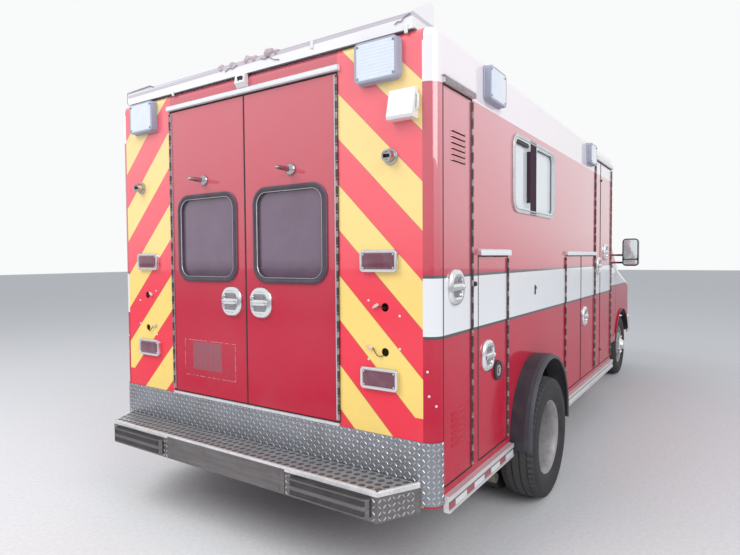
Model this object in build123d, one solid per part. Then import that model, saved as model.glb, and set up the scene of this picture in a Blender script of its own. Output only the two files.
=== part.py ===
"""Cutaway-van ambulance: a white and red patient module on a twin-wheel van chassis.

Millimetres. +X is forward, +Y is the vehicle's left, +Z is up. The origin is on the ground,
under the middle of the vehicle's bounding box. "fwd" is a distance forward of the module's rear face.
"""
from build123d import *
import os

os.makedirs("parts", exist_ok=True)

# Driving dimensions of the patient module
HALF_WIDTH = 1145          # side wall's outer face from the centre plane
MODULE_LENGTH = 3950
REAR = -2975               # X of the module's rear face
FRONT = REAR + MODULE_LENGTH
WALL = 50                  # side, front and rear wall thickness
DOOR = 45                  # door thickness
GAP = 6                    # clearance round a door leaf
POST_RADIUS = 65           # rounded corner extrusions
WALL_BOTTOM = 400
WALL_TOP = 2425
ROOF_TOP = 2490
FLOOR_TOP = 700
FLOOR_THICK = 60
SKIN = 6                   # outer sheet of the rear side panels, and locker sheet
DOOR_BOTTOM = 485          # side doors
SHORT_DOOR_TOP = 1500
HINGE_OUT = 6              # hinge axis outside the wall's face
HINGE_RADIUS = 5
HINGE_STRAP = 14           # width of a hinge strip on its leaf
LOCKER_DEPTH = 480

# Wheels and running gear
TYRE_RADIUS = 372
TYRE_WIDTH = 223
TWIN_PITCH = 267
REAR_AXLE_X = REAR + 1346
FRONT_AXLE_X = 2500
REAR_TYRE_OUT = 1265       # outer face of the outer twin tyre
FRONT_TYRE_MID = 875
KINGPIN_Y = 745
SPINDLE_RADIUS = 22
RUN_GAP = 1                # hub bore larger than its spindle, on the radius
REAR_ARCH = 405
REAR_ARCH_Z = 462          # the rear arch is centred above the axle
FLARE_RADIUS = 427         # outer radius of the rubber flare at the wall
FRONT_ARCH = 457
RAIL_Y = (368, 440)
RAIL_Z = (468, 628)
SPRING_Y = (532, 600)
PIPE_RADIUS = 26
HOUSE_IN = 705             # inner face of a rear wheel house

# Trim
RUB_RAIL_Z = (372, 446)
RUB_RAIL_OUT = 30
FLARE_OUT = 120
STEP_TOP = 510
STEP_BOTTOM = 380
STEP_DEPTH = 195

# Cab
CAB_HALF = 1000
CAB_WALL = 45
CAB_DOOR_X = (1078, 2080)
NOSE_X = 3110
BUMPER_X = 3200
COWL_X = 2440              # back edge of the hood
COWL_Z = 1338
HOOD_DROP = 0.255          # fall of the hood line per millimetre forward
HOOD_HALF = 800
SCREEN_RAKE = (-630, 0, 665)   # direction of the windscreen's slope
WHEEL_HUB = (1862, 480, 1249)

# Rear doorway
REAR_OPENING_HALF = 627
REAR_OPENING_Z = (704, 2377)
CATCH_Y = 922
CATCH_Z = 1948
LAMP_HOLE_Y = 886
LAMP_HOLE_Z = (1275, 1070)
LAMP_HOLE_RADIUS = 20
REAR_WINDOW_Y = (62, 562)
REAR_WINDOW_Z = (1371, 1873)
GASKET = 12                # lap of the window gasket

# Side doors: name, rear and front edge (fwd), bottom, top, hinged edge, handle (fwd, z)
RIGHT_DOORS = (
    ("locker_door_tall", 67, 375, DOOR_BOTTOM, 2243, "front", (190, 1364)),
    ("locker_door_low", 456, 871, DOOR_BOTTOM, SHORT_DOOR_TOP, "front", (575, 992)),
    ("locker_leaf_rear", 2117, 2620, DOOR_BOTTOM, SHORT_DOOR_TOP, "rear", None),
    ("locker_leaf_front", 2620, 3123, DOOR_BOTTOM, SHORT_DOOR_TOP, "front", (2740, 996)),
    ("locker_door_narrow", 3140, 3375, DOOR_BOTTOM, 2360, "rear", (3280, 1412)),
    ("entry_door", 3375, 3888, DOOR_BOTTOM, 2360, "front", (3600, 1540)),
)
LEFT_DOORS = (
    ("left_door_rear", 67, 560, DOOR_BOTTOM, 2243, "front", (190, 1364)),
    ("left_door_middle", 2117, 2860, DOOR_BOTTOM, SHORT_DOOR_TOP, "front", (2240, 1003)),
    ("left_door_front", 3140, 3740, DOOR_BOTTOM, 2360, "front", (3260, 1412)),
)
# Right wall openings: rear, front, bottom, top; the narrow door and the entry door share one
RIGHT_OPENINGS = (
    (67, 375, DOOR_BOTTOM, 2243),
    (456, 871, DOOR_BOTTOM, SHORT_DOOR_TOP),
    (2117, 3123, DOOR_BOTTOM, SHORT_DOOR_TOP),
    (3140, 3888, DOOR_BOTTOM, 2360),
)
LOUVRE_ROWS = [637 + 29 * row for row in range(6)] + [1930 + 26 * row for row in range(6)]
SIDE_WINDOW = (950, 1790, 1757, 2210)
MULLION = (1245, 1368)     # fwd edges of the dark bar between the side window's panes
SIDE_WINDOW_RADIUS = 80

# Paddle handles
HANDLE_BEZEL = (155, 112)
HANDLE_CUP = (68, 88)
HANDLE_BAR = (88, 26)

# Warning lights
LIGHT_DEPTH = 37
REAR_LIGHT_Y = (752, 978)
REAR_LIGHT_Z = (2284, 2464)
SIDE_LIGHT_Z = (2285, 2455)

# Walk-through to the cab
PASS_Y = (-280, 280)
PASS_Z = (FLOOR_TOP, 1950)

RIGHT = -1
LEFT = 1


def fwd(distance):
    """X of a point that lies this far forward of the module's rear face."""
    return REAR + distance


def block(x, y, z):
    """Box between two X, two Y and two Z values."""
    lows = [min(pair) for pair in (x, y, z)]
    sizes = [abs(pair[1] - pair[0]) for pair in (x, y, z)]
    return Pos(*lows) * Box(*sizes, align=(Align.MIN, Align.MIN, Align.MIN))


def rod(start, end, radius):
    """Round bar between two points."""
    way = Vector(*end) - Vector(*start)
    plane = Plane(origin=start, z_dir=way.normalized())
    return plane * Cylinder(radius, way.length, align=(Align.CENTER, Align.CENTER, Align.MIN))


def side_prism(outline, y):
    """Outline of (x, z) points pushed along Y between two values."""
    sketch = make_face(Polyline([(px, 0, pz) for px, pz in outline], close=True).edges())
    return Pos(0, min(y), 0) * extrude(sketch, amount=abs(y[1] - y[0]), dir=(0, 1, 0))


def rounded_hole(x, y, z, radius):
    """Rounded rectangle in the side plane, pushed along Y."""
    plane = Plane(origin=(sum(x) / 2, min(y), sum(z) / 2), x_dir=(1, 0, 0), z_dir=(0, 1, 0))
    outline = RectangleRounded(abs(x[1] - x[0]), abs(z[1] - z[0]), radius)
    return extrude(plane * outline, amount=abs(y[1] - y[0]))


def rounded_end(x, y, z, radius):
    """Rounded rectangle in the rear plane, pushed along X."""
    plane = Plane(origin=(min(x), sum(y) / 2, sum(z) / 2), x_dir=(0, 1, 0), z_dir=(1, 0, 0))
    outline = RectangleRounded(abs(y[1] - y[0]), abs(z[1] - z[0]), radius)
    return extrude(plane * outline, amount=abs(x[1] - x[0]))


def arch_prism(x, radius, y, z=TYRE_RADIUS):
    """Round wheel-arch space about a line across the vehicle."""
    return rod((x, min(y), z), (x, max(y), z), radius)


def save(name, *shapes):
    """Write one sub-part's solids as its STEP file."""
    solids = [solid for shape in shapes for solid in shape.solids()]
    export_step(Compound(label=name, children=solids), f"parts/{name}.step")


def both(make):
    """The right and the left copy of what a function of the side makes."""
    return [make(RIGHT), make(LEFT)]


# Module floor, roof and walls
def module_floor():
    """Floor panels: a centre deck, and side decks between the lockers and the wheel houses."""
    z = (FLOOR_TOP - FLOOR_THICK, FLOOR_TOP)
    centre = HALF_WIDTH - WALL - LOCKER_DEPTH - SKIN
    decks = [block((fwd(WALL), FRONT - WALL), (-centre, centre), z)]
    arch = (1346 - REAR_ARCH - SKIN, 1346 + REAR_ARCH + SKIN)
    for side, gaps in (
        (RIGHT, [(375, 456), (871, arch[0]), (arch[1], 2117)]),
        (LEFT, [(560, arch[0]), (arch[1], 2117), (2860, 3140), (3740, MODULE_LENGTH - WALL)]),
    ):
        for back, front in gaps:
            decks.append(block((fwd(back), fwd(front)), (side * centre, side * (HALF_WIDTH - WALL)), z))
    for side in (RIGHT, LEFT):
        decks.append(block((fwd(arch[0]), fwd(arch[1])), (side * centre, side * HOUSE_IN), z))
    return decks


def module_roof():
    """Roof slab with rounded side and front edges."""
    roof = block((REAR, FRONT), (-HALF_WIDTH, HALF_WIDTH), (WALL_TOP, ROOF_TOP))
    roof = fillet(roof.edges().filter_by(Axis.Z), POST_RADIUS)
    crown = roof.edges().filter_by_position(Axis.Z, ROOF_TOP - 1, ROOF_TOP + 1)
    crown = [edge for edge in crown if (edge @ 0.5).X > REAR + 30]
    return fillet(crown, 45)


def corner_posts():
    """Four rounded corner extrusions."""
    posts = []
    z = (WALL_BOTTOM, WALL_TOP)
    for end, way in ((REAR, 1), (FRONT, -1)):
        for side in (RIGHT, LEFT):
            x, y = end + way * POST_RADIUS, side * (HALF_WIDTH - POST_RADIUS)
            post = rod((x, y, z[0]), (x, y, z[1]), POST_RADIUS)
            post &= block((end, x), (y, side * HALF_WIDTH), z)
            posts.append(post - block((end + way * WALL, x), (y, side * (HALF_WIDTH - WALL)), z))
    return posts


def side_wall(side, openings, window):
    """Side wall with its door openings, wheel arch and window."""
    y = (side * (HALF_WIDTH - WALL), side * HALF_WIDTH)
    wide = (side * (HALF_WIDTH - WALL - 20), side * (HALF_WIDTH + 20))
    wall = block((REAR + POST_RADIUS, FRONT - POST_RADIUS), y, (WALL_BOTTOM, WALL_TOP))
    for back, front, bottom, top in openings:
        wall -= block((fwd(back), fwd(front)), wide, (bottom - GAP, top + GAP))
    wall -= arch_prism(REAR_AXLE_X, REAR_ARCH, wide, REAR_ARCH_Z)
    wall -= block((REAR_AXLE_X - REAR_ARCH, REAR_AXLE_X + REAR_ARCH), wide, (WALL_BOTTOM - 10, REAR_ARCH_Z))
    if window:
        back, front, bottom, top = SIDE_WINDOW
        hole = ((fwd(back + 25), fwd(front - 25)), wide, (bottom + 25, top - 25))
        wall -= rounded_hole(*hole, SIDE_WINDOW_RADIUS - 25)
    return wall


def module_front_wall():
    """Front wall with the walk-through to the cab."""
    span = (-HALF_WIDTH + POST_RADIUS, HALF_WIDTH - POST_RADIUS)
    wall = block((FRONT - WALL, FRONT), span, (FLOOR_TOP - FLOOR_THICK, WALL_TOP))
    return wall - block((FRONT - 100, FRONT + 50), PASS_Y, PASS_Z)


def rear_frame():
    """Header and sill of the rear doorway, as two solids."""
    span = (-REAR_OPENING_HALF, REAR_OPENING_HALF)
    header = block((REAR, REAR + WALL), span, (REAR_OPENING_Z[1], WALL_TOP))
    sill = block((REAR, REAR + WALL), span, (WALL_BOTTOM, REAR_OPENING_Z[0]))
    return [header, sill]


def rear_panel(side):
    """Rear wall beside the doors: two open lamp holes in its outer sheet and a wiring pocket behind them."""
    edge = side * (HALF_WIDTH - POST_RADIUS)
    panel = block((REAR, REAR + WALL), (side * REAR_OPENING_HALF, edge), (WALL_BOTTOM, WALL_TOP))
    pocket = (side * (LAMP_HOLE_Y - 60), side * (LAMP_HOLE_Y + 60))
    panel -= block((REAR + SKIN, REAR + 100), pocket, (LAMP_HOLE_Z[1] - 60, LAMP_HOLE_Z[0] + 60))
    for height in LAMP_HOLE_Z:
        y = side * LAMP_HOLE_Y
        panel -= rod((REAR - 5, y, height), (REAR + 20, y, height), LAMP_HOLE_RADIUS)
    return panel


# Lockers behind the side doors
def locker(side, back, front, bottom, top, depth):
    """Sheet-metal box, open towards its door."""
    inner = side * (HALF_WIDTH - WALL)
    deep = side * (HALF_WIDTH - WALL - depth)
    outer = block((fwd(back), fwd(front)), (inner, deep - side * SKIN), (bottom - SKIN, top + SKIN))
    return outer - block((fwd(back) + SKIN, fwd(front) - SKIN), (inner + side * 5, deep), (bottom, top))


def lockers(side):
    """All lockers of one side."""
    boxes = []
    if side == RIGHT:
        boxes.append(locker(side, 67, 375, DOOR_BOTTOM, 2243, LOCKER_DEPTH))
        boxes.append(locker(side, 456, 871, DOOR_BOTTOM, SHORT_DOOR_TOP, LOCKER_DEPTH))
        boxes.append(locker(side, 2117, 3123, DOOR_BOTTOM, SHORT_DOOR_TOP, LOCKER_DEPTH))
        boxes.append(locker(side, 3140, 3368, DOOR_BOTTOM, 2360, LOCKER_DEPTH))
    else:
        for name, back, front, bottom, top, hinge, handle in LEFT_DOORS:
            boxes.append(locker(side, back, front, bottom, top, LOCKER_DEPTH))
    return boxes


def entry_step():
    """Sunk step inside the entry door, open towards the door and upwards."""
    inner = -(HALF_WIDTH - WALL)
    deep = inner + LOCKER_DEPTH
    well = block((fwd(3376), fwd(3888)), (inner, deep + SKIN), (DOOR_BOTTOM - SKIN, FLOOR_TOP))
    return well - block((fwd(3376) + SKIN, fwd(3888) - SKIN), (inner - 5, deep), (DOOR_BOTTOM, FLOOR_TOP + 5))


def wheel_house(side):
    """Inner arch over a pair of twin wheels."""
    y = (side * HOUSE_IN, side * (HALF_WIDTH - WALL))
    inside = (side * (HOUSE_IN + SKIN), side * HALF_WIDTH)
    shell = arch_prism(REAR_AXLE_X, REAR_ARCH + SKIN, y, REAR_ARCH_Z)
    shell -= arch_prism(REAR_AXLE_X, REAR_ARCH, inside, REAR_ARCH_Z)
    return shell & block((REAR_AXLE_X - 600, REAR_AXLE_X + 600), (side * 600, side * HALF_WIDTH), (500, 1000))


# Doors
def handle_and_plate(face):
    """Paddle handle: an oval bezel with a sunk cup and a bar across it, on a plane that faces outwards."""
    bezel = extrude(face * SlotOverall(*HANDLE_BEZEL, rotation=90), amount=10)
    bezel -= extrude(face * Pos(0, 0, 4) * RectangleRounded(*HANDLE_CUP, 14), amount=10)
    return bezel + extrude(face * RectangleRounded(*HANDLE_BAR, 8), amount=13)


def side_door(side, back, front, bottom, top, hinge, handle):
    """Flush door leaf with its hinge strip and paddle handle."""
    face = side * HALF_WIDTH
    if hinge == "front":
        x = (fwd(back) + GAP / 2, fwd(front) - GAP)
        axis_x = fwd(front) - GAP / 2
        strap_x = (axis_x - HINGE_STRAP, axis_x)
    else:
        x = (fwd(back) + GAP, fwd(front) - GAP / 2)
        axis_x = fwd(back) + GAP / 2
        strap_x = (axis_x, axis_x + HINGE_STRAP)
    axis_y = face + side * HINGE_OUT
    hinge_z = (bottom + 8, top - 8)
    leaf = block(x, (face, face - side * DOOR), (bottom, top))
    leaf += block(strap_x, (face + side, axis_y), hinge_z) & block(x, (face, axis_y), hinge_z)
    leaf += block(x, (face, face + side * 2), hinge_z) & block(strap_x, (face, axis_y), hinge_z)
    leaf += rod((axis_x, axis_y, hinge_z[0]), (axis_x, axis_y, hinge_z[1]), HINGE_RADIUS)
    if back == RIGHT_DOORS[0][1] and side == RIGHT:
        for low in LOUVRE_ROWS:
            leaf -= block((fwd(147), fwd(300)), (face + side * 5, face - side * DOOR * 2), (low, low + 12))
    if handle:
        plane = Plane(origin=(fwd(handle[0]), face, handle[1]), x_dir=(1, 0, 0), z_dir=(0, side, 0))
        leaf += handle_and_plate(plane)
    return leaf


def rear_door(side):
    """Rear door leaf with a window hole, hinge strip, handle and hold-open probe."""
    shut = side * (REAR_OPENING_HALF - GAP)
    z = (REAR_OPENING_Z[0] + GAP, REAR_OPENING_Z[1] - GAP)
    leaf = block((REAR, REAR + DOOR), (side * GAP / 2, shut), z)
    hole_y = (side * (REAR_WINDOW_Y[0] + GASKET), side * (REAR_WINDOW_Y[1] - GASKET))
    hole_z = (REAR_WINDOW_Z[0] + GASKET, REAR_WINDOW_Z[1] - GASKET)
    leaf -= rounded_end((REAR - 20, REAR + 80), hole_y, hole_z, 78)
    axis_x = REAR - HINGE_OUT
    axis_y = side * (REAR_OPENING_HALF - GAP / 2)
    leaf += block((axis_x, REAR), (axis_y, axis_y - side * HINGE_STRAP), (z[0] + 8, z[1] - 8))
    leaf += rod((axis_x, axis_y, z[0] + 8), (axis_x, axis_y, z[1] - 8), HINGE_RADIUS)
    plane = Plane(origin=(REAR, side * 112, 1265), x_dir=(0, 1, 0), z_dir=(-1, 0, 0))
    leaf += handle_and_plate(plane)
    leaf += rod((REAR, side * 330, CATCH_Z), (REAR - 8, side * 330, CATCH_Z), 30)
    leaf += rod((REAR, side * 330, CATCH_Z), (REAR - 92, side * 330, CATCH_Z), 9)
    return leaf


def rear_door_glass(side):
    """Dark pane in its rubber gasket."""
    y = (side * REAR_WINDOW_Y[0], side * REAR_WINDOW_Y[1])
    hole_y = (side * (REAR_WINDOW_Y[0] + GASKET), side * (REAR_WINDOW_Y[1] - GASKET))
    hole_z = (REAR_WINDOW_Z[0] + GASKET, REAR_WINDOW_Z[1] - GASKET)
    pane_y = (side * (REAR_WINDOW_Y[0] + 26), side * (REAR_WINDOW_Y[1] - 26))
    pane_z = (REAR_WINDOW_Z[0] + 26, REAR_WINDOW_Z[1] - 26)
    gasket = rounded_end((REAR - 8, REAR), y, REAR_WINDOW_Z, 90)
    gasket += rounded_end((REAR - 8, REAR + 16), hole_y, hole_z, 78)
    return gasket - rounded_end((REAR - 20, REAR + 8), pane_y, pane_z, 64)


def side_window():
    """Aluminium window frame with two panes and a dark mullion."""
    back, front, bottom, top = SIDE_WINDOW
    face = -HALF_WIDTH
    frame = rounded_hole((fwd(back), fwd(front)), (face - 10, face), (bottom, top), SIDE_WINDOW_RADIUS)
    inset = ((fwd(back + 25), fwd(front - 25)), (bottom + 25, top - 25))
    frame += rounded_hole(inset[0], (face - 10, face + 25), inset[1], SIDE_WINDOW_RADIUS - 25)
    for pane in ((back + 32, MULLION[0]), (MULLION[1], front - 32)):
        pane_x = (fwd(pane[0]), fwd(pane[1]))
        frame -= rounded_hole(pane_x, (face - 20, face + 12), (bottom + 32, top - 32), 45)
    return frame


# Trim and fittings on the module
def rub_rails():
    """Aluminium rub rails: behind and ahead of the rear wheels on each side."""
    rails = []
    for side in (RIGHT, LEFT):
        y = (side * HALF_WIDTH, side * (HALF_WIDTH + RUB_RAIL_OUT))
        for back, front in ((66, 903), (1789, 3900)):
            rail = block((fwd(back), fwd(front)), y, RUB_RAIL_Z)
            groove = (side * (HALF_WIDTH + RUB_RAIL_OUT - 5), side * (HALF_WIDTH + RUB_RAIL_OUT + 5))
            rail -= block((fwd(back) - 5, fwd(front) + 5), groove, (RUB_RAIL_Z[0] + 12, RUB_RAIL_Z[0] + 52))
            rails.append(rail)
    return rails


def fender_flare(side):
    """Rubber flare round the rear wheel arch with a turned-in lip."""
    lip = 402
    profile = [(0, REAR_ARCH), (0, FLARE_RADIUS), (85, FLARE_RADIUS + 4), (108, FLARE_RADIUS),
               (FLARE_OUT, FLARE_RADIUS - 11), (FLARE_OUT, lip), (FLARE_OUT - 12, lip),
               (FLARE_OUT - 16, REAR_ARCH + 6), (20, REAR_ARCH)]
    points = [(REAR_AXLE_X, side * (HALF_WIDTH + out), REAR_ARCH_Z + radius) for out, radius in profile]
    face = make_face(Polyline(points, close=True).edges())
    axis = Axis((REAR_AXLE_X, 0, REAR_ARCH_Z), (0, 1, 0))
    upper = revolve(face, axis=axis, revolution_arc=360) & block(
        (REAR_AXLE_X - 700, REAR_AXLE_X + 700), (side * 1000, side * 1400), (REAR_ARCH_Z, 1200))
    for way in (-1, 1):
        foot = [(REAR_AXLE_X + way * radius, side * (HALF_WIDTH + out), REAR_ARCH_Z)
                for out, radius in profile]
        leg = extrude(make_face(Polyline(foot, close=True).edges()), amount=REAR_ARCH_Z - 402, dir=(0, 0, -1))
        upper += leg
    return upper


def rounded_rear(x, half, z, radius):
    """Block whose two rear corners are rounded in plan."""
    body = block(x, (-half, half), z)
    return fillet([edge for edge in body.edges().filter_by(Axis.Z) if (edge @ 0.5).X < min(x) + 1], radius)


def rear_kick_plate():
    """Diamond plate under the rear doors, wrapped round both corner posts."""
    thick = 4
    z = (WALL_BOTTOM + 10, 690)
    outer = rounded_rear((REAR - thick, REAR + 200), HALF_WIDTH + thick, z, POST_RADIUS + thick)
    inner = rounded_rear((REAR, REAR + 300), HALF_WIDTH, z, POST_RADIUS)
    return (outer - inner) & block((REAR - 10, REAR + POST_RADIUS - 1), (-1200, 1200), z)


def rear_step():
    """Fixed rear step: a tray-shaped deck with chamfered ends, two brackets and two rubber bumper blocks."""
    outline = [(REAR - 4, -1070), (REAR - STEP_DEPTH, -965), (REAR - STEP_DEPTH, 965), (REAR - 4, 1070)]
    face = make_face(Polyline([(px, py, STEP_BOTTOM) for px, py in outline], close=True).edges())
    step = extrude(face, amount=STEP_TOP - STEP_BOTTOM, dir=(0, 0, 1))
    back = REAR - STEP_DEPTH + 6
    inside = [(REAR + 1, -1058), (back, -958), (back, 958), (REAR + 1, 1058)]
    face = make_face(Polyline([(px, py, STEP_BOTTOM - 5) for px, py in inside], close=True).edges())
    step -= extrude(face, amount=STEP_TOP - STEP_BOTTOM, dir=(0, 0, 1))
    for side in (RIGHT, LEFT):
        step += block((back - 3, REAR - 4), (side * 395, side * 435), (STEP_BOTTOM + 10, STEP_TOP - 2))
        rubber = block((REAR - 225, REAR - STEP_DEPTH), (side * 480, side * 930), (400, 480))
        corners = [edge for edge in rubber.edges().filter_by(Axis.Z) if (edge @ 0.5).X < REAR - 210]
        step += chamfer(corners, 20)
    return step


def roof_tray():
    """Open light-bar tray across the rear of the roof, left empty."""
    half = 1040
    y = (-half, half)
    back, front, top = REAR - 8, REAR + 190, 2650
    tray = block((back, REAR), y, (2483, 2548))
    tray += block((back, front), y, (ROOF_TOP, ROOF_TOP + 5))
    tray += block((front - 6, front), y, (ROOF_TOP, top))
    cheek = [(back, ROOF_TOP), (front, ROOF_TOP), (front, top), (front - 40, top), (back, 2560)]
    for side in (RIGHT, LEFT):
        tray += side_prism(cheek, (side * (half - 6), side * half))
        for x in (REAR + 40, REAR + 140):
            tray -= rod((x, side * 900, ROOF_TOP - 5), (x, side * 900, ROOF_TOP + 20), 5)
    return tray


def drip_rails():
    """Drip rails over the doors and the white strip under the rear doors."""
    rails = [
        block((REAR - 18, REAR), (-640, 640), (2383, 2407)),
        block((REAR - 10, REAR), (-627, 627), (690, 703)),
    ]
    for back, front, z in ((60, 382, 2252), (448, 880, 1509), (2110, 3130, 1509), (3136, 3892, 2369)):
        rails.append(block((fwd(back), fwd(front)), (-HALF_WIDTH, -HALF_WIDTH - 20), (z, z + 30)))
    for name, back, front, bottom, top, hinge, handle in LEFT_DOORS:
        out = (HALF_WIDTH, HALF_WIDTH + 20)
        rails.append(block((fwd(back - 7), fwd(front + 7)), out, (top + 9, top + 39)))
    return rails


def warning_lights():
    """Rounded warning lights high on the rear, the sides and the front."""
    lights = []
    for side in (RIGHT, LEFT):
        y = (side * REAR_LIGHT_Y[0], side * REAR_LIGHT_Y[1])
        lights.append(rounded_end((REAR - LIGHT_DEPTH, REAR), y, REAR_LIGHT_Z, 22))
        for back, front in ((520, 750), (2790, 3020)):
            out = (side * HALF_WIDTH, side * (HALF_WIDTH + LIGHT_DEPTH))
            lights.append(rounded_hole((fwd(back), fwd(front)), out, SIDE_LIGHT_Z, 22))
        for inner in (330, 740):
            y = (side * inner, side * (inner + 230))
            lights.append(rounded_end((FRONT, FRONT + LIGHT_DEPTH), y, (2235, 2415), 22))
    return lights


def rear_lamps():
    """Two bezelled lamps on each rear side panel."""
    lamps = []
    for side in (RIGHT, LEFT):
        for height in (1485, 948):
            y = (side * 760, side * 960)
            lamp = rounded_end((REAR - 18, REAR), y, (height - 50, height + 50), 18)
            y = (side * 775, side * 945)
            inset = rounded_end((REAR - 30, REAR - 13), y, (height - 36, height + 36), 10)
            lamps.append(lamp - inset)
    return lamps


def work_lights():
    """Wedge-shaped load light and a small camera pod."""
    wedge = [(REAR, 2098), (REAR, 2229), (REAR - 24, 2229), (REAR - 54, 2110), (REAR - 48, 2098)]
    pod = [(REAR, 2412), (REAR, 2478), (REAR - 24, 2478), (REAR - 32, 2434), (REAR - 12, 2412)]
    return [side_prism(wedge, (-1060, -930)), side_prism(pod, (-36, 36))]


def door_catches():
    """Open tubular hold-open catches for the rear doors."""
    catches = []
    for side in (RIGHT, LEFT):
        y = side * CATCH_Y
        catch = rod((REAR, y, CATCH_Z), (REAR - 6, y, CATCH_Z), 36)
        catch += rod((REAR, y, CATCH_Z), (REAR - 40, y, CATCH_Z), 26)
        catches.append(catch - rod((REAR - 10, y, CATCH_Z), (REAR - 50, y, CATCH_Z), 18))
    return catches


# Chassis
def frame_rail(side):
    """Channel rail with its open side inwards."""
    y = (side * RAIL_Y[0], side * RAIL_Y[1])
    rail = block((REAR + 60, NOSE_X - 60), y, RAIL_Z)
    web = (side * (RAIL_Y[0] - 5), side * (RAIL_Y[1] - 7))
    return rail - block((REAR + 50, NOSE_X), web, (RAIL_Z[0] + 8, RAIL_Z[1] - 8))


def crossmembers():
    """Cross tubes between the rails and the outriggers under the module floor."""
    y = (-RAIL_Y[1] + 8, RAIL_Y[1] - 8)
    z = (RAIL_Z[0] + 30, RAIL_Z[1] - 30)
    return [block((x, x + 70), y, z) for x in [fwd(d) for d in (110, 900, 1900, 2950, 3800)] + [2960]]


def leaf_packs():
    """Rear leaf packs over the axle, each with two hangers."""
    packs = []
    for side in (RIGHT, LEFT):
        y = (side * SPRING_Y[0], side * SPRING_Y[1])
        leaves = [(-680, 520), (0, 420), (680, 520), (680, 532), (300, 490), (0, 480), (-300, 490),
                  (-680, 532)]
        pack = side_prism([(REAR_AXLE_X + along, z) for along, z in leaves], y)
        for end in (-680, 660):
            x = (REAR_AXLE_X + end, REAR_AXLE_X + end + 20)
            pack += block(x, y, (505, 620))
            pack += block(x, (side * RAIL_Y[1], side * SPRING_Y[1]), (560, 620))
        packs.append(pack)
    return packs


def rear_axle():
    """Axle tube, differential and stub ends with the leaf springs that carry them."""
    axle = rod((REAR_AXLE_X, -700, TYRE_RADIUS), (REAR_AXLE_X, 700, TYRE_RADIUS), 55)
    axle += rod((REAR_AXLE_X, -1025, TYRE_RADIUS), (REAR_AXLE_X, 1025, TYRE_RADIUS), 40)
    bulge = rod((REAR_AXLE_X, -150, TYRE_RADIUS), (REAR_AXLE_X, 150, TYRE_RADIUS), 150)
    axle += chamfer(bulge.edges().filter_by(GeomType.CIRCLE), 75)
    axle += rod((REAR_AXLE_X, 0, TYRE_RADIUS + 20), (REAR_AXLE_X + 260, 0, TYRE_RADIUS + 20), 60)
    for pack in leaf_packs():
        axle += pack
    return axle


def front_axle():
    """Front cross beam with its fork ends and coil springs."""
    beam = block((FRONT_AXLE_X - 45, FRONT_AXLE_X + 45), (-640, 640), (300, 380))
    for side in (RIGHT, LEFT):
        for z in ((262, 292), (452, 482)):
            beam += block((FRONT_AXLE_X - 45, FRONT_AXLE_X + 45), (side * 600, side * (KINGPIN_Y + 45)), z)
        beam += block((FRONT_AXLE_X - 45, FRONT_AXLE_X + 45), (side * 600, side * 640), (262, 482))
        beam += rod((FRONT_AXLE_X, side * 540, 380), (FRONT_AXLE_X, side * 540, 600), 60)
        beam += block((FRONT_AXLE_X - 70, FRONT_AXLE_X + 70), (side * RAIL_Y[1], side * 605), (600, 640))
    return beam


def engine_block():
    """One plain block for the engine."""
    return block((2438, 2950), (-270, 270), (560, 1120))


def drivetrain():
    """Gearbox under the cab floor and the drive shaft to the rear axle."""
    shaft = rod((REAR_AXLE_X + 262, 0, 395), (1500, 0, 445), 38)
    gearbox = block((1500, 2434), (-170, 170), (395, 625))
    return shaft + chamfer(gearbox.edges().filter_by(Axis.X), 40)


def fuel_tank():
    """Fuel tank between the rails behind the rear axle."""
    tank = block((fwd(250), fwd(880)), (-330, 330), (330, 495))
    return fillet(tank.edges().filter_by(Axis.X), 40)


def exhaust():
    """Silencer and tail pipe that leaves behind the right rear wheels."""
    points = [(fwd(2250), -520, 370), (fwd(1950), -487, 390), (fwd(1550), -487, 505), (fwd(1230), -487, 505),
              (fwd(1090), -487, 380), (fwd(870), -640, 300), (fwd(800), -860, 275), (fwd(800), -1110, 265)]
    path = FilletPolyline(points, radius=60)
    start = Plane(origin=path @ 0, z_dir=path % 0)
    pipe = sweep(start * Circle(PIPE_RADIUS), path=path)
    end = Plane(origin=path @ 1, z_dir=path % 1)
    upright = (Align.CENTER, Align.CENTER, Align.MIN)
    pipe -= end * Pos(0, 0, -50) * Cylinder(PIPE_RADIUS - 3, 60, align=upright)
    silencer = rod((fwd(2240), -545, 370), (fwd(2860), -545, 370), 90)
    return pipe + silencer


# Wheels
def tyre_section(mid):
    """Half tyre profile as (y, r), from the inner bead over the tread to the outer bead."""
    half = TYRE_WIDTH / 2
    return [(mid - 84, 222), (mid - half, 285), (mid - half + 6, 335), (mid - 84, 368), (mid, TYRE_RADIUS),
            (mid + 84, 368), (mid + half - 6, 335), (mid + half, 285), (mid + 84, 222)]


def turned(points, x):
    """Solid turned about an axle line from (y, r) points."""
    face = make_face(Polyline([(x, py, TYRE_RADIUS + pr) for py, pr in points], close=True).edges())
    return revolve(face, axis=Axis((x, 0, TYRE_RADIUS), (0, 1, 0)), revolution_arc=360)


def front_wheel(side):
    """Front wheel: tyre, rim bowed outwards and a long hub."""
    mid = FRONT_TYRE_MID
    bore = SPINDLE_RADIUS + RUN_GAP
    disc = [(78, 205), (30, 190), (98, 150), (104, 85), (150, 70), (158, 0), (60, 0), (60, bore), (-20, bore),
            (-20, 90), (60, 120), (-20, 190), (-78, 205)]
    points = tyre_section(mid) + [(mid + py, pr) for py, pr in disc]
    return turned([(side * py, pr) for py, pr in points], FRONT_AXLE_X)


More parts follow.
